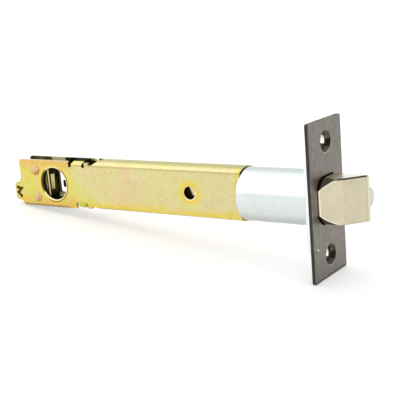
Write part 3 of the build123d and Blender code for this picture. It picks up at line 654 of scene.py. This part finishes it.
# The retractor's face: rubbed plating, painted as lit
STRIP_RUBBED_AND_LIT = ((0.35, (0.58, 0.48, 0.18)), (0.62, (0.78, 0.66, 0.30)))
STRIP_BROWN = (0.34, 0.23, 0.05)
STRIP_OLIVE = (0.40, 0.34, 0.08)
# Painted highlight on the retractor's near bend
STRIP_BEND_HIGHLIGHT = (0.84, 0.78, 0.36)
# Painted shade on the strip's tip
STRIP_TIP_SHADE = (0.010, 0.009, 0.007)
STRIP_SHADE_BLACK = (0.010, 0.009, 0.006)
# Painted highlight on the strip behind the sight hole
SMEAR_HIGHLIGHT = (0.74, 0.68, 0.42)
GREASE_GLANCE = (0.35, 0.32, 0.24)


def inner_strip():
    # The strips and the retractor: the same plating, dark with grease and painted shade. The
    # retractor's face is rubbed clean where the cam pushes on it and painted as lit, browner lower
    # down, with an olive near leg and a painted highlight on the near bend. The strip's tip is black
    # with painted shade, and at the sight hole it has painted shade and a pale painted highlight.
    material, tree = tree_of("greased_shaded_yellow_zinc")
    here = place(tree)
    x, y, z = axes(tree, here)
    patches = noise(tree, here, scale=160.0, detail=4.0, rough=0.6, twist=0.6)
    # Grease and painted shade
    grease_and_shade = ramp(tree, patches, STRIP_GREASE_AND_SHADE)
    rubbed_and_lit = ramp(tree, patches, STRIP_RUBBED_AND_LIT)
    gold = paint(tree, rubbed_and_lit, STRIP_BROWN, span(tree, z, -4.5 * MM, 2.5 * MM, 0.75, 0.0))
    on_retractor = below(tree, x, RETRACTOR_X + 1 * MM, 2 * MM)
    uneven = calc(tree, "ADD", y, waver(tree, patches, 0.8 * MM))
    face = band(tree, uneven, -1.7 * MM, 0.1 * MM, 0.4 * MM)
    face = product(tree, face, band(tree, z, -3.2 * MM, 2.8 * MM, 0.5 * MM))
    # The retractor's face: rubbed plating, painted as lit
    colour = paint(tree, grease_and_shade, gold, face, on_retractor)
    olive = product(tree, below(tree, y, -3.25 * MM, 0.3 * MM), on_retractor)
    olive = product(tree, olive, span(tree, y, -4.6 * MM, -3.5 * MM, 0.15, 0.8))
    colour = paint(tree, colour, STRIP_OLIVE, olive)
    bend_highlight = band(tree, y, -2.95 * MM, -2.70 * MM, 0.18 * MM)
    bend_highlight = product(tree, bend_highlight, band(tree, z, -5.5 * MM, 5.5 * MM, 1 * MM))
    # Painted highlight on the retractor's near bend
    colour = paint(tree, colour, STRIP_BEND_HIGHLIGHT, bend_highlight, on_retractor)
    tip_shade = above(tree, x, STRIP_TIP_X - 4 * MM, 0.2 * MM)
    tip_shade = product(tree, tip_shade, below(tree, x, STRIP_TIP_X, 0.5 * MM))
    # Painted shade on the strip's tip
    colour = paint(tree, colour, STRIP_TIP_SHADE, tip_shade, 0.97)
    behind_hole = band(tree, x, STRIP_SHADE_REAR, STRIP_SHADE_FRONT, 1 * MM)
    colour = paint(tree, colour, STRIP_SHADE_BLACK, behind_hole, 0.8)
    slant = calc(tree, "SUBTRACT", x, calc(tree, "MULTIPLY", z, -0.42))
    smear_highlight = product(
        tree,
        band(tree, slant, SIGHT_HOLE_X + 0.4 * MM, SIGHT_HOLE_X + 1.4 * MM, 0.5 * MM),
        band(tree, z, -0.9 * MM, 2.2 * MM, 0.5 * MM),
        below(tree, y, -3.6 * MM, 0.4 * MM),
    )
    # Painted highlight on the strip behind the sight hole
    colour = paint(tree, colour, SMEAR_HIGHLIGHT, smear_highlight, 0.9)
    lines = noise(tree, place(tree, ROLLED), scale=60.0, detail=3.0, rough=0.6)
    rough = span(tree, patches, 0.3, 0.75, 0.25, 0.45)
    height = calc(tree, "ADD", lines, patches)
    shader = metal(tree, colour, rough, relief(tree, height, depth=0.015 * MM))
    shader.inputs["Specular Tint"].default_value = (*GREASE_GLANCE, 1.0)
    return material


# White zinc
ZINC_CLOUDS = (
    (0.32, (0.72, 0.785, 0.775)),
    (0.55, (0.80, 0.85, 0.84)),
    (0.74, (0.86, 0.895, 0.885)),
)
ZINC_PLATE = (0.92, 0.94, 0.93)
ZINC_MARKS = (0.58, 0.63, 0.62)
# Painted highlight along the barrel's upper shoulder
SHOULDER_HIGHLIGHT_WHITE = (0.99, 0.99, 0.98)
# Painted shade on the barrel: below the shoulder, crown, underside, rear end, and shadow at the seam
SHOULDER_SHADE_GREEN = (0.70, 0.82, 0.78)
BARREL_CROWN_SHADE_GREY = (0.60, 0.68, 0.66)
BARREL_UNDER_SHADE_GREY = (0.48, 0.515, 0.50)
BARREL_END_SHADE_OLIVE = (0.42, 0.44, 0.29)
SEAM_SHADOW_BLACK = (0.035, 0.030, 0.012)
BARREL_TONE = (0.955, 0.940, 0.945)
# Painted highlight and painted shade in the screw bores
SCREW_BORE_HIGHLIGHT = (0.97, 0.95, 0.84)
SCREW_BORE_SHADE = (0.035, 0.030, 0.018)


def barrel_tones(tree, x, z, colour):
    # The plates are paler. The barrel has a painted white highlight along its upper shoulder and a
    # greenish line of painted shade below that, painted shade on its crown and underneath, and a
    # painted shadow along its rear end where it meets the case.
    barrel = below(tree, x, BARREL_FRONT, 0.2 * MM)
    elsewhere = calc(tree, "SUBTRACT", 0.6, product(tree, barrel, 0.6))
    colour = paint(tree, colour, ZINC_PLATE, elsewhere)
    # Painted highlight along the barrel's upper shoulder
    shoulder_highlight = product(tree, band(tree, z, 3.0 * MM, 8.5 * MM, 0.3 * MM), barrel)
    colour = paint(tree, colour, SHOULDER_HIGHLIGHT_WHITE, shoulder_highlight, 0.9)
    # Painted shade below the shoulder's highlight
    under_shoulder_shade = product(tree, band(tree, z, 0.9 * MM, 2.0 * MM, 0.5 * MM), barrel)
    colour = paint(tree, colour, SHOULDER_SHADE_GREEN, under_shoulder_shade, 0.5)
    # Painted shade on the crown and underneath
    crown_shade = above(tree, z, 8.6 * MM, 0.3 * MM)
    colour = paint(tree, colour, BARREL_CROWN_SHADE_GREY, crown_shade, barrel, 0.75)
    underside_shade = below(tree, z, -4.3 * MM, 4.5 * MM)
    colour = paint(tree, colour, BARREL_UNDER_SHADE_GREY, underside_shade, barrel, 0.70)
    # Painted shade along the rear end and painted shadow in the seam with the case
    seam_shadow = below(tree, x, BARREL_REAR + 0.7 * MM, 0.2 * MM)
    seam_shadow = product(tree, seam_shadow, above(tree, size_of(tree, z), 6.8 * MM, 1.2 * MM))
    rear_end_shade = below(tree, x, BARREL_REAR + 0.4 * MM, 0.15 * MM)
    colour = paint(tree, colour, BARREL_END_SHADE_OLIVE, rear_end_shade, 0.5)
    colour = paint(tree, colour, SEAM_SHADOW_BLACK, seam_shadow, 0.95)
    return blend(tree, barrel, colour, BARREL_TONE, "MULTIPLY")


def white_zinc():
    # Bright zinc: bluish white with faint clouds and a few handling marks. The screw holes' bores
    # carry a painted highlight, with painted shade toward the front and the bottom.
    material, tree = tree_of("white_zinc_plate")
    here = place(tree)
    x, _, z = axes(tree, here)
    clouds = noise(tree, here, scale=110.0, detail=5.0, rough=0.6, twist=0.6)
    colour = ramp(tree, clouds, ZINC_CLOUDS)
    colour = barrel_tones(tree, x, z, colour)
    marks = noise(tree, place(tree, HANDLED), scale=260.0, detail=3.0, rough=0.7)
    colour = paint(tree, colour, ZINC_MARKS, span(tree, marks, 0.60, 0.78, 0.0, 0.30))
    bores = ((SCREW_Z, -0.35 * MM, -0.9 * MM), (-SCREW_Z, -0.85 * MM, -1.3 * MM))
    for hole_z, shade_x, shade_z in bores:
        ring, dz = screw_ring(tree, here, hole_z)
        bore = below(tree, ring, SCREW_RADIUS + 0.55 * MM, 0.1 * MM)
        # Painted shade toward the front and the bottom of the bore, painted highlight elsewhere
        shaded_side = either(tree, above(tree, x, shade_x, 0.2 * MM), below(tree, dz, shade_z, 0.4 * MM))
        inside = blend(tree, shaded_side, SCREW_BORE_HIGHLIGHT, SCREW_BORE_SHADE)
        colour = paint(tree, colour, inside, bore)
    rough = span(tree, clouds, 0.3, 0.75, 0.24, 0.40)
    normal = relief(tree, calc(tree, "ADD", clouds, marks), depth=0.012 * MM)
    metal(tree, colour, rough, normal)
    return material


# Dark bronze
BRONZE_CLOUDS = ((0.32, (0.158, 0.145, 0.129)), (0.68, (0.252, 0.228, 0.205)))
BRONZE_OLIVE = (0.190, 0.190, 0.150)
BRONZE_PINK = (0.240, 0.190, 0.180)
BRONZE_BRUSHED = (0.34, 0.31, 0.27)
BRONZE_SPECK = (0.09, 0.08, 0.07)
BRONZE_MOTTLE = (0.29, 0.262, 0.238)
BRONZE_WORN = (0.42, 0.38, 0.32)
BRONZE_LOWER = (0.140, 0.118, 0.102)
BRONZE_HEM = (0.045, 0.042, 0.038)
# Painted shade on the edge faces and in the window
BRONZE_SHEARED_SHADE = (0.046, 0.046, 0.037)
PLATE_WINDOW_SHADE = (0.006, 0.005, 0.004)
SCRATCH_PALE = (0.88, 0.86, 0.78)
SINK_TONES = (
    (0.36, (0.060, 0.052, 0.037)),
    (0.52, (0.115, 0.103, 0.078)),
    (0.68, (0.18, 0.168, 0.14)),
)
SINK_GRIT = ((0.40, (0.045, 0.042, 0.036)), (0.60, (0.20, 0.195, 0.175)))
SINK_SHADE = (0.014, 0.009, 0.005)
SINK_SHADOW = (0.010, 0.008, 0.005)
# Painted highlight on the countersink's lower lip
SINK_LIP_HIGHLIGHT = (0.42, 0.42, 0.36)


def plate_edges(tree, y, z, colour, clouds, mottle):
    # A worn spot here and there along the corners, a darker lower part, and a dark hem along the
    # bottom and, fainter, the sides.
    plate_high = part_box("faceplate")[1]
    beside = calc(tree, "SUBTRACT", plate_high.y, size_of(tree, y))
    over = calc(tree, "SUBTRACT", plate_high.z, size_of(tree, z))
    rim = calc(tree, "MINIMUM", beside, over)
    ragged = calc(tree, "ADD", rim, calc(tree, "MULTIPLY", clouds, 0.5 * MM))
    worn = below(tree, ragged, 0.50 * MM, 0.20 * MM)
    worn = product(tree, worn, span(tree, mottle, 0.50, 0.60))
    colour = paint(tree, colour, BRONZE_WORN, worn, 0.5)
    colour = paint(tree, colour, BRONZE_LOWER, span(tree, z, -28 * MM, -15 * MM, 0.42, 0.0))
    hem = below(tree, over, 1.05 * MM, 0.4 * MM)
    hem = product(tree, hem, below(tree, z, 0.0, 1 * MM), 0.93)
    hem = either(tree, hem, product(tree, below(tree, beside, 0.22 * MM, 0.15 * MM), 0.4))
    return paint(tree, colour, BRONZE_HEM, hem)


def screw_sinks(tree, here, y, colour, mottle, speckle):
    # The countersinks are dark: gritty at the bottom, black with painted shade on the far lower side
    # and along the near side, with a painted highlight on the lower lip.
    for hole_z in (SCREW_Z, -SCREW_Z):
        ring, dz = screw_ring(tree, here, hole_z)
        cone = below(tree, ring, SINK_RADIUS + 0.05 * MM, 0.12 * MM)
        shade = calc(tree, "SUBTRACT", calc(tree, "MULTIPLY", y, 0.7), dz)
        sunk = ramp(tree, mottle, SINK_TONES)
        bottom = below(tree, dz, -1.9 * MM, 0.8 * MM)
        gritty = ramp(tree, speckle, SINK_GRIT)
        sunk = paint(tree, sunk, gritty, bottom)
        dark = calc(tree, "SUBTRACT", 0.93, calc(tree, "MULTIPLY", bottom, 0.5))
        sunk = paint(tree, sunk, SINK_SHADE, span(tree, shade, 1.3 * MM, 2.2 * MM), dark)
        shadow = calc(tree, "SUBTRACT", calc(tree, "MULTIPLY", dz, 0.45), y)
        shadow = above(tree, shadow, 1.1 * MM, 0.4 * MM)
        shadow = product(tree, shadow, below(tree, ring, SINK_RADIUS - 0.05 * MM, 0.15 * MM))
        sunk = paint(tree, sunk, SINK_SHADOW, shadow, 0.9)
        colour = paint(tree, colour, sunk, cone)
        # Painted highlight on the lower lip
        lip = band(tree, ring, SINK_RADIUS - 0.1 * MM, SINK_RADIUS + 0.15 * MM, 0.12 * MM)
        lip = product(tree, lip, below(tree, dz, -2.4 * MM, 1.2 * MM))
        colour = paint(tree, colour, SINK_LIP_HIGHLIGHT, lip, 0.75)
    return colour


def dark_bronze():
    # Satin dark bronze: fine upright brushing over faint clouds of pink and olive, nearly black with
    # painted shade on the sheared edges and in the window, with one pale scratch.
    material, tree = tree_of("dark_bronze_plate")
    here = place(tree)
    _, y, z = axes(tree, here)
    brushed = noise(tree, place(tree, BRUSHED), scale=220.0, detail=3.0, rough=0.6)
    clouds = noise(tree, here, scale=160.0, detail=5.0, rough=0.65, twist=0.5)
    speckle = noise(tree, here, scale=1400.0, detail=2.0, rough=0.6)
    mottle = noise(tree, here, scale=520.0, detail=3.0, rough=0.6, twist=0.4)
    patina = noise(tree, here, scale=90.0, detail=3.0, rough=0.5, twist=0.6)
    colour = ramp(tree, clouds, BRONZE_CLOUDS)
    colour = paint(tree, colour, BRONZE_OLIVE, span(tree, patina, 0.38, 0.60, 0.7, 0.0))
    colour = paint(tree, colour, BRONZE_PINK, span(tree, patina, 0.52, 0.66, 0.0, 0.7))
    colour = paint(tree, colour, BRONZE_BRUSHED, span(tree, brushed, 0.40, 0.80, 0.0, 0.25))
    colour = paint(tree, colour, BRONZE_SPECK, span(tree, speckle, 0.52, 0.66, 0.0, 0.42))
    colour = paint(tree, colour, BRONZE_MOTTLE, span(tree, mottle, 0.44, 0.62, 0.0, 0.48))
    colour = plate_edges(tree, y, z, colour, clouds, mottle)
    nick = scratch(tree, here, at_y=-9.8 * MM, at_z=-16.4 * MM, slope=-0.76, half=1.1 * MM)
    colour = paint(tree, colour, SCRATCH_PALE, nick, 0.95)
    colour = screw_sinks(tree, here, y, colour, mottle, speckle)
    # Painted shade on the edge faces and in the window
    across = size_of(tree, facing(tree)[0])
    sheared_shade = span(tree, across, 0.25, 0.55, 1.0, 0.0)
    in_window = below(tree, size_of(tree, y), WINDOW_HALF_WIDTH, 0.5 * MM)
    edge_tone = blend(tree, in_window, BRONZE_SHEARED_SHADE, PLATE_WINDOW_SHADE)
    colour = paint(tree, colour, edge_tone, sheared_shade, 0.95)
    rough = span(tree, clouds, 0.3, 0.8, 0.34, 0.48)
    height = calc(tree, "ADD", brushed, speckle)
    normal = relief(tree, height, depth=0.012 * MM, edge=0.15 * MM)
    metal(tree, colour, rough, normal)
    return material


# Satin nickel
NICKEL_CLOUDS = (
    (0.30, (0.55, 0.49, 0.34)),
    (0.52, (0.62, 0.55, 0.39)),
    (0.75, (0.68, 0.62, 0.47)),
)
NICKEL_FOOT_LIFT = (1.09, 1.09, 1.09)
NICKEL_GREEN = (0.59, 0.59, 0.39)
NICKEL_PINK = (0.72, 0.62, 0.47)
NICKEL_TIP = (0.62, 0.60, 0.36)
NICKEL_HAIRS = (0.90, 0.86, 0.74)
# Painted highlights on the bolt's outline, top flat and nose
OUTLINE_HIGHLIGHT = (1.0, 0.97, 0.84)
ROUND_SHADE = (0.17, 0.15, 0.105)
# Painted shade on the bolt in the window and along its top edge
BOLT_WINDOW_SHADE = (0.012, 0.010, 0.008)
TOP_HIGHLIGHT = (0.95, 0.93, 0.86)
TOP_EDGE_SHADE = (0.035, 0.028, 0.015)
NOSE_HIGHLIGHT = (0.80, 0.73, 0.60)
NOSE_SIDE_SHADE = (0.42, 0.38, 0.25)
PLUNGER_GREY = (0.62, 0.63, 0.54)
PLUNGER_ROUND_GREY = (0.50, 0.55, 0.53)


def nickel_tones(tree, here, x):
    # Soft clouds with blots of green and pink, a little lighter behind the crease and yellower at
    # the tip, under upright hairlines. Gives the clouds and the hairlines too.
    clouds = noise(tree, here, scale=120.0, detail=4.0, rough=0.55, twist=0.4)
    colour = ramp(tree, clouds, NICKEL_CLOUDS)
    behind_crease = below(tree, x, CREASE_X, 0.3 * MM)
    colour = blend(tree, behind_crease, colour, NICKEL_FOOT_LIFT, "MULTIPLY")
    blots = noise(tree, here, scale=330.0, detail=3.0, rough=0.6, twist=0.5)
    colour = paint(tree, colour, NICKEL_GREEN, span(tree, blots, 0.50, 0.66, 0.0, 0.45))
    colour = paint(tree, colour, NICKEL_PINK, span(tree, blots, 0.32, 0.46, 0.45, 0.0))
    colour = paint(tree, colour, NICKEL_TIP, above(tree, x, 12.3 * MM, 1.2 * MM), 0.3)
    hairs = noise(tree, place(tree, POLISHED), scale=180.0, detail=3.0, rough=0.6)
    colour = paint(tree, colour, NICKEL_HAIRS, span(tree, hairs, 0.5, 0.8, 0.0, 0.16))
    return colour, clouds, hairs


def bolt_shades(tree, at, looks, colour):
    # The bevel's outline, the nose and the top's flat carry painted highlights, and the bevel has a
    # little painted shade beside the nose. The round side's foot is darkened with a painted
    # reflection of the faceplate, and the part in the window and the edge along the top are dark
    # with painted shade.
    x, y, z = at
    look_x, look_y, look_z = looks
    out = length_of(tree, y, z)
    on_bevel = below(tree, look_y, -0.2, 0.1)
    on_bevel = product(tree, on_bevel, below(tree, size_of(tree, look_z), 0.25, 0.1))
    outline = above(tree, out, BOLT_RADIUS - 0.45 * MM, 0.3 * MM)
    outline = either(tree, outline, below(tree, x, BOLT_FOOT + 0.5 * MM, 0.35 * MM))
    # Painted highlight on the bevel's outline
    colour = paint(tree, colour, OUTLINE_HIGHLIGHT, on_bevel, outline, 0.75)
    on_round = above(tree, out, BOLT_RADIUS - 0.12 * MM, 0.05 * MM)
    colour = paint(tree, colour, ROUND_SHADE, on_round, below(tree, x, 7.4 * MM, 3.0 * MM), 0.92)
    in_window = product(
        tree,
        below(tree, x, BOLT_FOOT + 0.5 * MM, 0.3 * MM),
        below(tree, y, PLUNGER_FLAT, 0.1 * MM),
        calc(tree, "SUBTRACT", 1.0, on_bevel),
    )
    # Painted shade on the part in the window
    colour = paint(tree, colour, BOLT_WINDOW_SHADE, in_window, 0.95)
    top_flat = product(
        tree,
        above(tree, look_z, 0.93, 0.03),
        above(tree, x, 4.2 * MM, 0.8 * MM),
        above(tree, z, 8 * MM, 0.1 * MM),
    )
    # Painted highlight on the top's flat
    colour = paint(tree, colour, TOP_HIGHLIGHT, top_flat, 0.85)
    edge = band(tree, z, BOLT_TOP - 0.55 * MM, BOLT_TOP - 0.06 * MM, 0.08 * MM)
    edge = product(tree, edge, above(tree, x, 5.0 * MM, 1.2 * MM))
    edge = product(tree, edge, below(tree, look_z, 0.9, 0.1), below(tree, y, 3.4 * MM, 0.3 * MM))
    # Painted shade along the top edge
    colour = paint(tree, colour, TOP_EDGE_SHADE, edge, 0.93)
    nose = product(tree, above(tree, look_x, 0.9, 0.05), below(tree, y, PLUNGER_FLAT, 0.1 * MM))
    # Painted highlight on the nose
    colour = paint(tree, colour, NOSE_HIGHLIGHT, nose, 0.7)
    nose_side = product(tree, above(tree, x, BOLT_TIP - 0.55 * MM, 0.15 * MM), on_bevel)
    return paint(tree, colour, NOSE_SIDE_SHADE, nose_side, 0.15)


def plunger_shades(tree, y, z, colour):
    # The plunger is greyer than the bolt, most of all round its outside.
    plunger = above(tree, y, PLUNGER_FLAT, 0.02 * MM)
    colour = paint(tree, colour, PLUNGER_GREY, plunger, 0.75)
    from_flat = calc(tree, "SUBTRACT", y, PLUNGER_FLAT)
    outer = above(tree, length_of(tree, from_flat, z), 2.7 * MM, 0.6 * MM)
    return paint(tree, colour, PLUNGER_ROUND_GREY, plunger, outer, 0.7)


def satin_nickel():
    # Champagne nickel over brass, polished upright, with soft clouds and hairline scratches.
    material, tree = tree_of("satin_nickel")
    here = place(tree)
    at = axes(tree, here)
    x, y, z = at
    looks = facing(tree)
    colour, clouds, hairs = nickel_tones(tree, here, x)
    colour = bolt_shades(tree, at, looks, colour)
    colour = plunger_shades(tree, y, z, colour)
    rough = span(tree, clouds, 0.3, 0.75, 0.22, 0.36)
    height = calc(tree, "ADD", hairs, clouds)
    normal = relief(tree, height, depth=0.008 * MM, edge=0.18 * MM)
    metal(tree, colour, rough, normal)
    return material


# Bare bronze
HEAD_SPOTS = (
    (0.34, (0.50, 0.31, 0.15)),
    (0.50, (0.70, 0.45, 0.25)),
    (0.66, (0.84, 0.61, 0.40)),
)
# Painted highlight and rust-coloured painted shade on the two sides of the ring
RING_HIGHLIGHT_PALE = (0.70, 0.60, 0.24)
RING_SHADE_RUST = (0.50, 0.20, 0.03)
SHANK_DARK = (0.12, 0.09, 0.05)


def bare_bronze():
    # The buttons' flush heads: pinkish bronze with the broken ring that riveting leaves, carrying a
    # pale painted highlight on one side and rust-coloured painted shade on the other. What shows of
    # their shanks is dark.
    material, tree = tree_of("rivet_bronze")
    here = place(tree)
    x, y, z = axes(tree, here)
    spots = noise(tree, here, scale=700.0, detail=3.0, rough=0.6)
    blots = noise(tree, here, scale=420.0, detail=2.0, rough=0.5, twist=0.8)
    colour = ramp(tree, spots, HEAD_SPOTS)
    height = size_of(tree, z)
    joined = tree.nodes.new("ShaderNodeCombineXYZ")
    tree.links.new(x, joined.inputs[0])
    tree.links.new(height, joined.inputs[2])
    ring = away_from(tree, joined.outputs[0], BUTTON_X, BUTTON_Z)
    ring = calc(tree, "ADD", ring, waver(tree, blots, 3.2 * MM))
    edge = span(tree, ring, 0.9 * MM, 1.6 * MM)
    dx = calc(tree, "SUBTRACT", x, BUTTON_X)
    from_middle = calc(tree, "SUBTRACT", height, BUTTON_Z)
    rise = calc(tree, "MULTIPLY", from_middle, calc(tree, "SIGN", z))
    lit = calc(tree, "SUBTRACT", rise, calc(tree, "MULTIPLY", dx, 0.8))
    # Painted highlight on the ring's lit side, and rust-coloured painted shade on the other
    colour = paint(tree, colour, RING_HIGHLIGHT_PALE, edge, span(tree, lit, 0.2 * MM, 1.8 * MM, 0.0, 0.9))
    colour = paint(tree, colour, RING_SHADE_RUST, edge, span(tree, lit, -1.8 * MM, -0.2 * MM, 0.9, 0.0))
    shank = below(tree, size_of(tree, y), 4.45 * MM, 0.1 * MM)
    colour = paint(tree, colour, SHANK_DARK, shank, 0.8)
    raised = calc(tree, "ADD", spots, calc(tree, "MULTIPLY", edge, -3.0))
    normal = relief(tree, raised, depth=0.03 * MM)
    rough = span(tree, spots, 0.3, 0.75, 0.28, 0.44)
    metal(tree, colour, rough, normal)
    return material


# Spring steel
STEEL_OIL = (
    (0.30, (0.24, 0.24, 0.24)),
    (0.60, (0.42, 0.42, 0.43)),
    (0.80, (0.54, 0.53, 0.50)),
)


def spring_steel():
    # Oiled steel wire and pins.
    material, tree = tree_of("spring_steel_wire")
    here = place(tree)
    oil = noise(tree, here, scale=500.0, detail=4.0, rough=0.6)
    colour = ramp(tree, oil, STEEL_OIL)
    rough = span(tree, oil, 0.3, 0.8, 0.22, 0.38)
    metal(tree, colour, rough, relief(tree, oil, depth=0.008 * MM, edge=0.05 * MM))
    return material


# Pieces

def dress_nodes():
    # Each CAD node gets the finish of the slot that the record gives it.
    finishes = {
        "yellow_zinc": yellow_zinc(),
        "white_zinc": white_zinc(),
        "faceplate_bronze": dark_bronze(),
        "nickel_brass": satin_nickel(),
        "bronze": bare_bronze(),
        "spring_steel": spring_steel(),
    }
    slots = {row["node"]: row["material_slot"] for row in frame["record"]["subparts"]}
    greased_and_shaded = inner_strip()
    for name, node in frame["nodes"].items():
        finish = greased_and_shaded if name in INNER_STRIPS else finishes[slots[name]]
        node.data.materials.clear()
        node.data.materials.append(finish)
    return finishes, slots


def coil_height(turn, open_turns, wire, length):
    # How far along the spring a turn has come: closed at both ends, open and even between.
    closed = wire * CLOSED_PITCH
    pitch = (length - 2 * CLOSED_TURNS * closed) / open_turns
    first = min(turn, CLOSED_TURNS) * closed
    middle = min(max(turn - CLOSED_TURNS, 0.0), open_turns) * pitch
    last = max(turn - CLOSED_TURNS - open_turns, 0.0) * closed
    return first + middle + last


def coil_line(low, high, wire, open_turns):
    # The middle of a wire wound along X inside the box from low to high.
    radius = (high.y - low.y - wire) / 2
    middle_z = (low.z + high.z) / 2
    length = high.x - low.x - wire
    turns = open_turns + 2 * CLOSED_TURNS
    steps = round(turns * STEPS_PER_TURN)
    line = []
    for step in range(steps + 1):
        turn = turns * step / steps
        angle = 2 * math.pi * turn
        along = low.x + wire / 2 + coil_height(turn, open_turns, wire, length)
        up = middle_z + radius * math.sin(angle)
        line.append(Vector((along, radius * math.cos(angle), up)))
    return line


def coil_mesh(name, low, high, wire, open_turns):
    # A round wire on that line, with flat ends.
    line = coil_line(low, high, wire, open_turns)
    middle_z = (low.z + high.z) / 2
    steps = len(line) - 1
    points = []
    for step, centre in enumerate(line):
        ahead = (line[min(step + 1, steps)] - line[max(step - 1, 0)]).normalized()
        outward = Vector((0.0, centre.y, centre.z - middle_z)).normalized()
        aside = ahead.cross(outward).normalized()
        outward = aside.cross(ahead)
        for side in range(WIRE_SIDES):
            turned = 2 * math.pi * side / WIRE_SIDES
            reach = outward * math.cos(turned) + aside * math.sin(turned)
            points.append(centre + reach * wire / 2)
    start_cap = tuple(range(WIRE_SIDES))[::-1]
    end_cap = tuple(range(steps * WIRE_SIDES, (steps + 1) * WIRE_SIDES))
    faces = [start_cap, end_cap]
    for step in range(steps):
        for side in range(WIRE_SIDES):
            here = step * WIRE_SIDES + side
            beside = step * WIRE_SIDES + (side + 1) % WIRE_SIDES
            faces.append((here, beside, beside + WIRE_SIDES, here + WIRE_SIDES))
    mesh = bpy.data.meshes.new(name)
    mesh.from_pydata(points, [], faces)
    mesh.validate()
    mesh.shade_smooth()
    return mesh


def make_spring(row, steel):
    # A long spring pushes back against the spring plate. It is drawn as a coil in its part's box and
    # rides on the case in place of that part.
    name = row["node"]
    wire, open_turns = LONG_SPRINGS[name]
    low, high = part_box(name)
    mesh = coil_mesh(name + "_coil", low, high, wire, open_turns)
    coil = bpy.data.objects.new(name + "_coil", mesh)
    bpy.context.scene.collection.objects.link(coil)
    coil.data.materials.append(steel)
    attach(coil, "case")
    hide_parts(name)
    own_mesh(coil)


def make_springs(steel):
    for joint in frame["joints"]:
        for row in joint.get("deforming_nodes", []):
            if row["node"] in LONG_SPRINGS:
                make_spring(row, steel)


# Studio

def floor_tilt():
    # The latch lies on the faceplate's lower edge and the tail's, so the floor slopes in its frame.
    plate_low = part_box("faceplate")[0]
    tail_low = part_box("case_half_far")[0]
    front = Vector((plate_low.x, 0.0, plate_low.z))
    rear = Vector((tail_low.x, 0.0, tail_low.z + TAIL_LIFT))
    return front, math.atan2(rear.z - front.z, front.x - rear.x)


def seen_directly(tree):
    # 1 for rays from the camera and for those mirrored in metal, 0 for the light that falls.
    path = tree.nodes.new("ShaderNodeLightPath")
    shown = calc(tree, "ADD", path.outputs["Is Camera Ray"], path.outputs["Is Glossy Ray"])
    shown = calc(tree, "ADD", shown, path.outputs["Is Transmission Ray"])
    return calc(tree, "MINIMUM", shown, 1.0)


def studio_white():
    material, tree = tree_of("studio_white")
    shader = shader_of(tree)
    shader.inputs["Base Color"].default_value = (FLOOR_WHITE, FLOOR_WHITE, FLOOR_WHITE, 1.0)
    shader.inputs["Roughness"].default_value = FLOOR_ROUGHNESS
    shader.inputs["Emission Color"].default_value = (*WHITE, 1.0)
    path = tree.nodes.new("ShaderNodeLightPath")
    glow = calc(tree, "MULTIPLY", seen_directly(tree), FLOOR_GLOW)
    glow_seen = calc(tree, "MULTIPLY", path.outputs["Is Camera Ray"], FLOOR_GLOW_SEEN)
    glow = calc(tree, "ADD", glow, glow_seen)
    tree.links.new(glow, shader.inputs["Emission Strength"])
    return material


def make_floor():
    front, tilt = floor_tilt()
    bpy.ops.mesh.primitive_plane_add(size=FLOOR_SIZE)
    floor = bpy.context.object
    floor.name = "studio_floor"
    up = Vector((math.sin(tilt), 0.0, math.cos(tilt)))
    floor.rotation_euler = (0.0, tilt, 0.0)
    floor.location = front - up * FLOOR_GAP
    floor.data.materials.append(studio_white())


def make_world():
    # White to look at and in metal, and dimmer as light.
    world = bpy.data.worlds.new("studio")
    world.use_nodes = True
    tree = world.node_tree
    background = next(node for node in tree.nodes if node.type == "BACKGROUND")
    background.inputs["Color"].default_value = (*WHITE, 1.0)
    strength = calc(tree, "MAXIMUM", seen_directly(tree), WORLD_LEVEL)
    tree.links.new(strength, background.inputs["Strength"])
    bpy.context.scene.world = world


def softbox(name, at, aim, side, power):
    lamp = bpy.data.lights.new(name, "AREA")
    lamp.shape = "SQUARE"
    lamp.size = side
    lamp.energy = power
    box = bpy.data.objects.new(name, lamp)
    box.location = at
    box.rotation_mode = "QUATERNION"
    box.rotation_quaternion = (aim - at).to_track_quat("-Z", "Y")
    bpy.context.scene.collection.objects.link(box)


def make_lights():
    middle = (cad_low + cad_high) / 2
    for name, (offset, side, power) in LAMPS.items():
        softbox(name, middle + offset, middle, side, power)


def make_camera():
    lens = bpy.data.cameras.new("photo_camera")
    lens.sensor_width = SENSOR
    lens.lens = FOCAL_PIXELS * SENSOR / PICTURE_SIDE
    lens.clip_start = CLIP_NEAR
    lens.clip_end = CLIP_FAR
    camera = bpy.data.objects.new("photo_camera", lens)
    camera.location = CAMERA_AT
    camera.rotation_mode = "QUATERNION"
    level = (CAMERA_AIM - CAMERA_AT).to_track_quat("-Z", "Y")
    camera.rotation_quaternion = level @ Quaternion((0.0, 0.0, 1.0), math.radians(CAMERA_ROLL))
    bpy.context.scene.collection.objects.link(camera)
    bpy.context.scene.camera = camera


bpy.context.scene.view_settings.view_transform = "Standard"
materials, slot_of = dress_nodes()
make_springs(materials["spring_steel"])
make_floor()
make_world()
make_lights()
make_camera()
